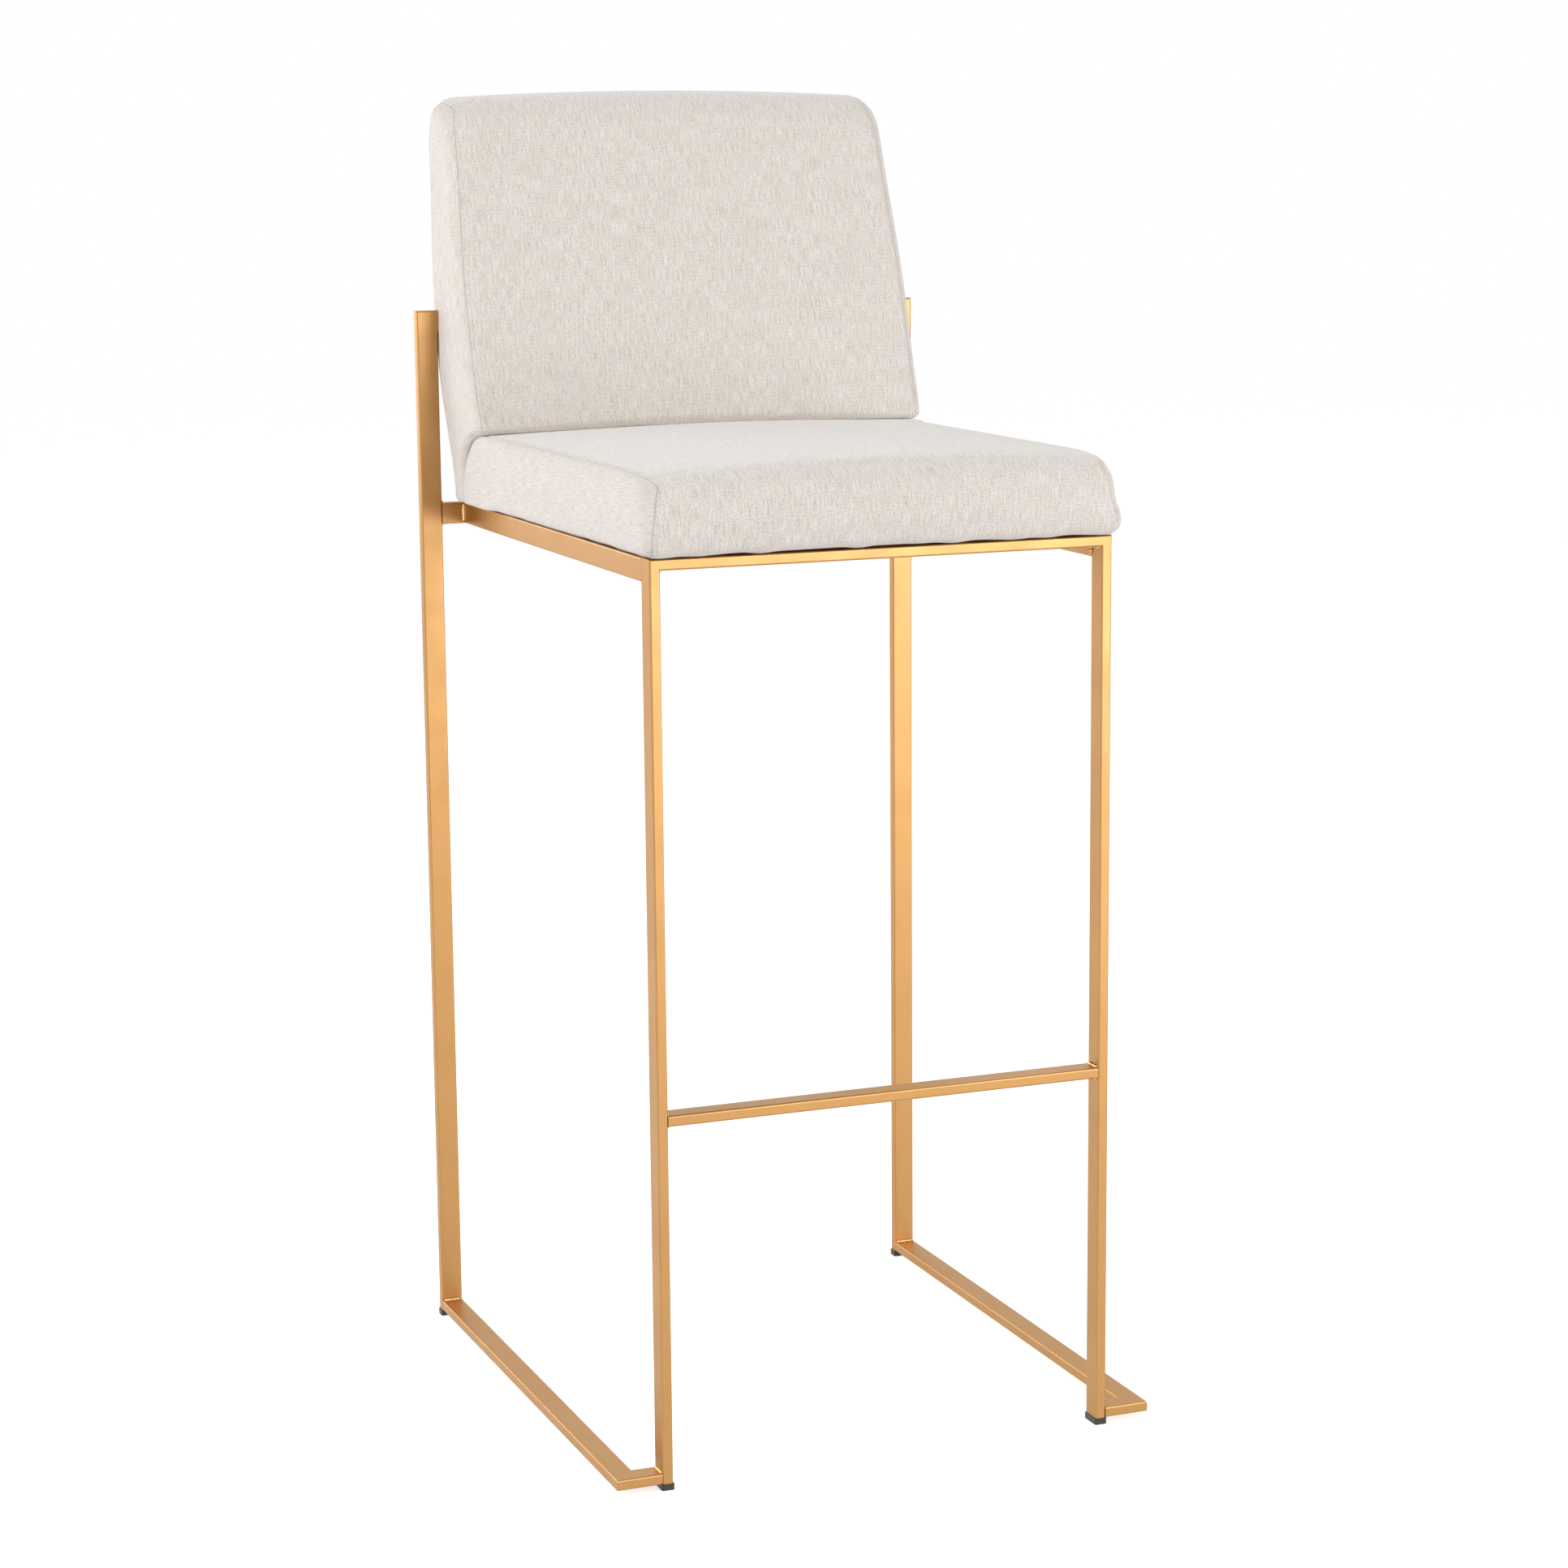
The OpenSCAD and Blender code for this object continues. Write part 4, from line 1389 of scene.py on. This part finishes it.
@dataclass
class BackCushion(Cushion):
    """The back: a leaning wedge of padding between the posts, its foot behind the seat.

    A zone is (where it starts, how far it reaches) along the way that a value fades in.
    """

    seat: SeatCushion = None
    panel_axes: tuple[int, int] = (1, 2)
    front_ahead: float = 85.0 * MM
    front_lean: float = 17.2
    rear_lean: float = 9.65
    rear_pad: float = 7.5 * MM
    slack: float = 0.4 * MM
    foot_in: float = 8.0 * MM
    foot_zone: Zone = (8.0 * MM, 115.0 * MM)
    top_in: float = 5.5 * MM
    top_zone: Zone = (5.0 * MM, 150.0 * MM)
    front_in: float = 4.5 * MM
    front_zone: Zone = (0.0, 48.0 * MM)
    crown: float = 3.0 * MM
    crown_low_zone: Zone = (0.0, 0.35)
    crown_high_zone: Zone = (0.75, 0.25)
    top_crown: float = 6.5 * MM
    top_drop: float = 1.5 * MM
    front_top_roll: float = 30.0 * MM
    rear_top_roll: float = 16.0 * MM
    rear_foot_roll: float = 4.0 * MM
    front_foot_roll: float = 1.5 * MM
    side_roll_rear: float = 8.0 * MM
    side_roll_more: float = 6.0 * MM
    foot_roll_share: float = 0.4
    foot_roll_zone: Zone = (0.19, 0.16)
    top_corner_roll: float = 23.0 * MM
    top_corner_zone: Zone = (-45.0 * MM, 45.0 * MM)
    least_depth: float = 10.0 * MM
    gap: float = 0.25 * MM
    gap_roll: float = 1.0 * MM
    seat_arc: float = 88.0
    seat_arc_points: int = 30
    depth: float = 58.0 * MM
    depth_coarse: float = 4.0 * MM
    foot_held_zone: Zone = (-26.0 * MM, 22.0 * MM)
    board_zone: Zone = (-9.0 * MM, 9.0 * MM)
    board_hold: float = 0.55
    post_zone: Zone = (-12.0 * MM, 8.0 * MM)
    post_over: float = 10.0 * MM
    first_stitch: float = 8.0 * MM
    stitch_depth: float = 50.0 * MM
    post_gap: float = 0.2 * MM
    post_margin: float = 1.0 * MM
    low: Vector = field(init=False)
    high: Vector = field(init=False)
    post: Box = field(init=False)
    bar: Box = field(init=False)

    def __post_init__(self) -> None:
        """Takes the size from the CAD's cover, post and upper crossbar."""
        self.low, self.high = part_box("back_cover")
        self.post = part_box("rear_post_right")
        self.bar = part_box("upper_back_crossbar")

    def half_width(self, y: Array, z: Array) -> Array:
        """Half width of the side face: widest between the posts, drawn in at the front.

        Formula: the CAD's half width less a slack, less an ease over the foot's height,
        less an ease towards the top, less an ease towards the front seam.

        Args:
            y: Y of the points.
            z: Z of the points.

        Returns:
            The half widths.
        """
        foot = self.foot_in * (1.0 - fade(z - self.low.z, self.foot_zone))
        top = self.top_in * fade(z - self.post[1].z, self.top_zone)
        front = self.front_in * (1.0 - fade(y - self.front_y(z), self.front_zone))
        above = fade(z - self.low.z, (0.0, self.foot_zone[1]))
        return self.high.x - self.slack - foot - top - front * above

    def front_y(self, z: Array) -> Array:
        """Y of the front face at a height: a plane that leans back."""
        return (self.post[0].y - self.front_ahead
                + (z - self.seat.high.z) * math.tan(math.radians(self.front_lean)))

    def rear_y(self, z: Array) -> Array:
        """Y of the rear face at a height: a plane that leans back less.

        Args:
            z: The heights.

        Returns:
            The places.
        """
        middle = (self.bar[0].z + self.bar[1].z) / 2.0
        return (self.bar[1].y + self.rear_pad
                + (z - middle) * math.tan(math.radians(self.rear_lean)))

    def side_roll(self, y: Array, z: Array, up: Array) -> Array:
        """Radius of the edge between the outline and the side.

        Formula: it grows from the rear face to the front one, is smaller at the foot,
        and goes over to a larger one at the top.

        Args:
            y: Y of the points.
            z: Z of the points.
            up: 0 at the foot to 1 at the top.

        Returns:
            The radii.
        """
        deep = np.maximum(self.rear_y(z) - self.front_y(z), self.least_depth)
        ahead = ease((self.rear_y(z) - y) / deep)
        share = self.foot_roll_share
        roll = ((self.side_roll_rear + self.side_roll_more * ahead)
                * (share + (1.0 - share) * fade(up, self.foot_roll_zone)))
        at_top = fade(z - self.high.z, self.top_corner_zone)
        return roll + (self.top_corner_roll - roll) * at_top

    def distance(self, points: Array) -> Array:
        """Signed distance: a leaning slab with rounded edges, less the seat's own form.

        Formula: the front is pushed out by crown * (1 - u^2), which fades at the foot
        and the top, and the top is raised by top_crown * (1 - u^2), with u across.

        Args:
            points: Points, n by 3.

        Returns:
            The distances.
        """
        x, y, z = points.T
        u = x / self.high.x
        up = np.clip((z - self.low.z) / (self.high.z - self.low.z), 0.0, 1.0)
        swell = (self.crown * (1.0 - u ** 2) * fade(up, self.crown_low_zone)
                 * (1.0 - fade(up, self.crown_high_zone)))
        front = (self.front_y(z) - swell - y) * math.cos(math.radians(self.front_lean))
        rear = (y - self.rear_y(z)) * math.cos(math.radians(self.rear_lean))
        top = z - self.high.z + self.top_drop - self.top_crown * (1.0 - u ** 2)
        bottom = self.low.z - z
        profile = np.maximum.reduce([
            fillet(front, top, self.front_top_roll), fillet(rear, top, self.rear_top_roll),
            fillet(rear, bottom, self.rear_foot_roll),
            fillet(front, bottom, self.front_foot_roll)])
        side = np.abs(x) - self.half_width(y, z)
        slab = fillet(profile, side, self.side_roll(y, z, up))
        return fillet(slab, self.gap - self.seat.profile(points), self.gap_roll)

    def outline(self) -> tuple[Array, Array, Array, Array]:
        """Lays out the side outline: its front follows the seat's rear end, then leans.

        Formula: an arc about the middle of the seat's rear roll, a gap wider than it,
        then a straight line up the front face.

        Returns:
            Points (y, z) of its bottom, front, top and rear.
        """
        reach = self.seat.rear_roll + self.gap
        middle = (self.seat.high.y - self.seat.rear_roll, self.seat.high.z - self.seat.rear_roll)
        turn = np.radians(np.linspace(0.0, self.seat_arc, self.seat_arc_points))
        arc = np.column_stack([middle[0] + reach * np.cos(turn), middle[1] + reach * np.sin(turn)])
        foot = np.concatenate([[[arc[0, 0], self.low.z]], arc])
        face = np.array([arc[-1], [self.front_y(self.high.z), self.high.z]])
        lengths = [lengths_of(part).sum() for part in (foot, face)]
        share = lengths[0] / sum(lengths)
        parts = [graded(length, self.outline_fine, self.coarse) for length in lengths]
        v = np.concatenate([parts[0] * share, share + parts[1][1:] * (1.0 - share)])
        front = np.concatenate([along(foot, parts[0]), along(face, parts[1])[1:]])
        z = self.low.z + v * (self.high.z - self.low.z)
        rear = np.column_stack([self.rear_y(z), z])
        u = graded(self.depth, self.outline_fine, self.depth_coarse)[:, None]
        return front[0] * (1 - u) + rear[0] * u, front, front[-1] * (1 - u) + rear[-1] * u, rear

    def held(self, points: Array) -> Array:
        """Held by the board behind it, by the seat under it and between the posts.

        Args:
            points: Points, n by 3.

        Returns:
            0 free to 1 held.
        """
        y, z = points[:, 1], points[:, 2]
        foot = fade(self.seat.high.z - z, self.foot_held_zone)
        rear = fade(y - self.rear_y(z), self.board_zone) * self.board_hold
        sides = (fade(y - self.post[0].y, self.post_zone)
                 * (z < self.post[1].z + self.post_over))
        return np.maximum.reduce([foot, rear, sides])

    def stitched(self, line: Array) -> Array:
        """Stitches run up the front corner, over the top and down the rear corner."""
        return ((line[:, 2] > self.seat.high.z + self.first_stitch)
                & (line[:, 1] > self.front_y(line[:, 2]) - self.stitch_depth))

    def keep_clear(self, points: Array) -> Array:
        """Stays between the posts where they pass.

        Args:
            points: Points, n by 3.

        Returns:
            The points, moved in where they were too wide.
        """
        x, y, z = points.T
        beside = ((y > self.post[0].y - self.post_margin)
                  & (z < self.post[1].z + self.post_margin))
        widest = np.where(beside, self.post[0].x - self.post_gap, np.inf)
        return np.column_stack([np.clip(x, -widest, widest), y, z])


# ---- welded frame ----

Edge = tuple[Place, Place]


class Axis(IntEnum):
    """An axis of the stool, as the place of its number in a point."""

    X = 0
    Y = 1
    Z = 2


def flat_reach(box: Box, axis: Axis, rounding: float) -> Span:
    """Where a tube's flat face starts and ends along an axis.

    Args:
        box: The tube's box.
        axis: The axis.
        rounding: How far the tube's rounded edge reaches.

    Returns:
        The two places.
    """
    return box[0][axis] + rounding, box[1][axis] - rounding


def edge(axis: Axis, reach: Span, *others: float) -> Edge:
    """A straight edge along an axis.

    Args:
        axis: The axis.
        reach: Where the edge starts and ends on it.
        others: The edge's place on the other two axes, in their order.

    Returns:
        Its start and end point.
    """
    return tuple((*others[:axis], end, *others[axis:]) for end in reach)


@dataclass
class WeldBeads:
    """The frame's welds: rippled beads where tubes meet, and joints ground flush."""

    radius: float = 1.9 * MM
    pitch: float = 2.6 * MM
    rounding: float = 1.8 * MM
    low_share: float = 0.76
    puddle_share: float = 0.34
    uneven_share: float = 0.10
    uneven_turns: float = 1.7
    uneven_start: float = 91.0
    rings_along: int = 44
    points_round: int = 12
    first_ring: float = 0.04
    upright_from: float = 0.9
    ground_sunk: float = 1.4 * MM
    ground_proud: float = 0.02 * MM
    ground_over: float = 0.25 * MM
    ground_short: float = 1.6 * MM

    def edges(self) -> dict[str, list[Edge]]:
        """Finds the left side's welded edges in the CAD's boxes.

        Returns:
            The edges of each joint.
        """
        leg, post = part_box("front_leg_left"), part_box("rear_post_left")
        rail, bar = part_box("side_seat_rail_left"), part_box("rear_seat_crossbar")
        floor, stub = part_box("floor_rail_left"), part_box("front_floor_stub_left")
        rest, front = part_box("footrest_bar"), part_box("front_seat_rail")
        tab, rear_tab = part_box("seat_tab_front_left"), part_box("seat_tab_rear_left")
        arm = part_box("back_bracket_left")
        inner = leg[1].x
        across_rail, across_floor, across_arm = (
            flat_reach(box, Axis.X, self.rounding) for box in (rail, floor, arm))
        along_leg, along_post, along_tab, along_rear_tab = (
            flat_reach(box, Axis.Y, self.rounding) for box in (leg, post, tab, rear_tab))
        up_rail = flat_reach(rail, Axis.Z, self.rounding)
        return {
            "footrest": [edge(Axis.Y, along_leg, inner, z) for z in (rest[0].z, rest[1].z)],
            "front_rail": [edge(Axis.Y, along_leg, inner, front[0].z)],
            "side_rail_front": [edge(Axis.Z, up_rail, rail[1].x, rail[0].y),
                                edge(Axis.X, across_rail, rail[0].y, rail[0].z)],
            "side_rail_rear": [edge(Axis.Z, up_rail, x, rail[1].y)
                               for x in (rail[0].x, rail[1].x)],
            "crossbar": [edge(Axis.Y, along_post, bar[0].x, z) for z in (bar[0].z, bar[1].z)],
            "floor_rail": [edge(Axis.X, across_floor, floor[1].y, floor[1].z)],
            "floor_stub": [edge(Axis.Y, along_leg, stub[1].x, stub[1].z)],
            "front_tab": [edge(Axis.Y, along_tab, inner, tab[0].z)],
            "rear_tab": [edge(Axis.Y, along_rear_tab, inner, rear_tab[0].z)],
            "back_bracket": [edge(Axis.X, across_arm, arm[1].y, tab[0].z)],
        }

    def rings(self, edges: Array) -> tuple[Array, Array]:
        """Works out the beads along edges.

        Formula: a circle carried along the edge, its radius drawn in to a round end and
        raised by |sin| of the way along, which gives the overlapping puddles of a weld.

        Args:
            edges: Start and end point of each edge, n by 2 by 3.

        Returns:
            The rings and end points, for capsules.
        """
        start, reach = edges[:, 0], edges[:, 1] - edges[:, 0]
        length = np.linalg.norm(reach, axis=1, keepdims=True)
        ahead = reach / length
        upright = np.abs(ahead[:, Axis.Z:]) > self.upright_from
        first = np.cross(ahead, np.where(upright, [[1.0, 0.0, 0.0]], [[0.0, 0.0, 1.0]]))
        second = np.cross(ahead, first)
        shares = np.linspace(self.first_ring, 1.0 - self.first_ring, self.rings_along)
        s = (1.0 - np.cos(np.pi * shares)) / 2.0
        puddle = np.abs(np.sin(np.pi * s * length / self.pitch))
        uneven = np.sin(2.0 * np.pi * (s * self.uneven_turns + start[:, :1] * self.uneven_start))
        height = self.low_share + self.puddle_share * puddle + self.uneven_share * uneven
        radius = self.radius * (1.0 - (2.0 * s - 1.0) ** 6) ** 0.5 * height
        turn = circle(self.points_round)
        ring = first[:, None] * np.cos(turn)[:, None] + second[:, None] * np.sin(turn)[:, None]
        spine = start[:, None] + s[:, None] * reach[:, None]
        return spine[:, :, None] + ring[:, None] * radius[:, :, None, None], edges

    def ground(self, side: Side, material: bpy.types.Material) -> None:
        """A joint ground flush: a strip that fills the groove between leg and side rail.

        Formula: a box from inside the tubes to just proud of their common outer face,
        as wide as the rounding of the leg's rear edge, over the rail's flat height.

        Args:
            side: Which side of the stool.
            material: The frame's finish.
        """
        leg, rail = (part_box(f"{node}_{side.name.lower()}")
                     for node in ("front_leg", "side_seat_rail"))
        outer = side.value * max(abs(rail[0].x), abs(rail[1].x))
        wide = sorted((outer - side.value * self.ground_sunk,
                       outer + side.value * self.ground_proud))
        deep = (leg[1].y - self.rounding, leg[1].y + self.ground_over)
        tall = flat_reach(rail, Axis.Z, self.ground_short)
        corners = np.stack(np.meshgrid(wide, deep, tall, indexing="ij"), -1).reshape(-1, 3)
        faces = [[0, 1, 3, 2], [4, 6, 7, 5], [0, 4, 5, 1], [2, 3, 7, 6], [0, 2, 6, 4],
                 [1, 5, 7, 3]]
        made = make_object(f"weld_ground_{side.name.lower()}", corners, faces, smooth=False)
        finish_piece(made, material)

    def build(self, material: bpy.types.Material) -> None:
        """Makes the beads of every joint on both sides.

        Args:
            material: The beads' finish.
        """
        for joint, edges in self.edges().items():
            for side in Side:
                turned = np.array(edges) * (-side.value, 1.0, 1.0)
                made = capsules(f"weld_{joint}_{side.name.lower()}", *self.rings(turned))
                finish_piece(made, material)


@dataclass
class FrameFinish:
    """Gives every CAD node that shows, or lies inside, the finish of its slot."""

    materials: dict[Slot, bpy.types.Material]

    def build(self) -> None:
        """Dresses the nodes."""
        for part in frame["record"]["subparts"]:
            node = frame["nodes"][part["node"]]
            node.data.materials.clear()
            node.data.materials.append(self.materials[Slot(part["material_slot"])])
            LOG.info("%s: CAD node, %s", part["node"], part["material_slot"])


# ---- studio ----


@dataclass(frozen=True)
class SoftBox:
    """A rectangular lamp that faces a point."""

    name: str
    place: Place
    target: Place
    size: tuple[float, float]
    power: float

    def build(self) -> None:
        """Makes the lamp."""
        lamp = bpy.data.lights.new(self.name, "AREA")
        lamp.shape = "RECTANGLE"
        lamp.size, lamp.size_y = self.size
        lamp.energy = self.power
        made = bpy.data.objects.new(self.name, lamp)
        made.location = self.place
        aim = Vector(self.target) - Vector(self.place)
        made.rotation_euler = aim.to_track_quat("-Z", "Y").to_euler()
        bpy.context.scene.collection.objects.link(made)


@dataclass
class Studio:
    """White floor and surroundings, soft lamps, and the camera."""

    ambient: float = 0.464
    floor_shade: float = 0.66
    floor_glow: float = 0.69
    floor_roughness: float = 0.9
    floor_reach: float = 12.0
    floor_height: float = -0.05 * MM
    lamps: tuple[SoftBox, ...] = (
        SoftBox("key_left", (-3.2, -0.3, 1.9), (0.0, 0.0, 0.7), (1.8, 1.8), 66.0),
        SoftBox("fill_front", (2.3, -3.3, 1.1), (0.0, 0.0, 0.6), (4.0, 2.4), 110.0),
        SoftBox("rear_high", (0.9, 2.5, 3.1), (0.0, -0.1, 0.7), (2.0, 2.0), 18.0),
        SoftBox("fill_rear", (-2.1, 3.0, 1.4), (0.0, 0.0, 0.7), (2.2, 2.0), 34.0),
    )
    yaw: float = -21.566
    pitch: float = -10.234
    roll: float = -0.501
    eye: Place = (-1.1030, -2.5708, 1.0592)
    lens: float = 83.294
    sensor: float = 36.0

    def white_share(self, nodes: NodeTree) -> Socket:
        """Tells apart the rays that see the studio and those that light the stool.

        Args:
            nodes: The tree to add to.

        Returns:
            1 for rays from the camera, from a gloss and through a clear body, else 0.
        """
        camera, gloss, clear = (nodes.add("LightPath", output=f"Is {ray} Ray")
                                for ray in ("Camera", "Glossy", "Transmission"))
        return nodes.math("MAXIMUM", nodes.math("MAXIMUM", camera, gloss), clear)

    def build_world(self) -> None:
        """Even white surroundings, dimmer for the light that they cast."""
        world = bpy.data.worlds.new("studio")
        world.use_nodes = True
        nodes = NodeTree(world.node_tree)
        glow = nodes.tree.nodes["Background"]
        nodes.put(glow.inputs["Color"], rgba(WHITE))
        nodes.put(glow.inputs["Strength"],
                  nodes.spread(self.white_share(nodes), (0.0, 1.0), (self.ambient, 1.0)))
        bpy.context.scene.world = world

    def build_floor(self) -> None:
        """A wide pale floor that keeps the stool's shadow."""
        reach, height = self.floor_reach, self.floor_height
        corners = np.array([(-reach, -reach, height), (reach, -reach, height),
                            (reach, reach, height), (-reach, reach, height)])
        made = make_object("floor", corners, [[0, 1, 2, 3]])
        sheet = NodeSheet("floor_paper")
        glow = sheet.math("MULTIPLY", self.white_share(sheet), self.floor_glow)
        made.data.materials.append(sheet.finish(
            Base_Color=rgba((self.floor_shade,) * 3), Roughness=self.floor_roughness,
            Specular_IOR_Level=0.0, Emission_Color=rgba(WHITE), Emission_Strength=glow))

    def build_camera(self) -> None:
        """The camera, from its yaw, pitch and roll, left of the stool's front."""
        yaw, pitch, roll = (math.radians(a) for a in (self.yaw, self.pitch, self.roll))
        ahead = Vector((-math.sin(yaw) * math.cos(pitch), math.cos(yaw) * math.cos(pitch),
                        math.sin(pitch)))
        right = Vector((math.cos(yaw), math.sin(yaw), 0.0))
        up = right.cross(ahead)
        turned_right = right * math.cos(roll) + up * math.sin(roll)
        turned_up = up * math.cos(roll) - right * math.sin(roll)
        data = bpy.data.cameras.new("camera")
        data.sensor_width, data.lens = self.sensor, self.lens
        made = bpy.data.objects.new("camera", data)
        turn = Matrix((turned_right, turned_up, -ahead)).transposed().to_4x4()
        leg_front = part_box("front_leg_left")[0].y
        eye = Vector(self.eye) + Vector((0.0, leg_front, 0.0))
        made.matrix_world = Matrix.Translation(eye) @ turn
        bpy.context.scene.collection.objects.link(made)
        bpy.context.scene.camera = made

    def build(self) -> None:
        """Makes everything round the stool."""
        self.build_world()
        self.build_floor()
        self.build_camera()
        for lamp in self.lamps:
            lamp.build()
        bpy.context.scene.view_settings.view_transform = "Standard"


def main() -> None:
    """Builds the stool's looks and its studio."""
    logging.basicConfig(level=logging.INFO, format="%(name)s: %(message)s")
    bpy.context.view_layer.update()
    linen, thread, gold = LinenCloth().build(), SewingThread().build(), GoldCoat().build()
    # The weld beads get the lighter gold, a painted highlight.
    weld_gold_painted_highlight = WELD_GOLD_PAINTED_HIGHLIGHT.build()
    FrameFinish({
        Slot.FRAME: gold, Slot.FABRIC: linen, Slot.FOOT: MouldedBlack().build(),
        Slot.DUST: DustCloth().build(), Slot.FOAM: CutFoam().build(),
        Slot.WOOD: RawPlywood().build(), Slot.ZINC: ZincPlate().build(),
    }).build()
    welds = WeldBeads()
    for side in Side:
        welds.ground(side, gold)
    welds.build(weld_gold_painted_highlight)
    seat = SeatCushion("seat_cushion", ("seat_cover", "seat_foam"))
    seat.build(linen, thread)
    back = BackCushion("back_cushion", ("back_cover", "back_foam", "back_rear_pad"), seat=seat)
    back.build(linen, thread)
    Studio().build()


if __name__ == "__main__":
    main()
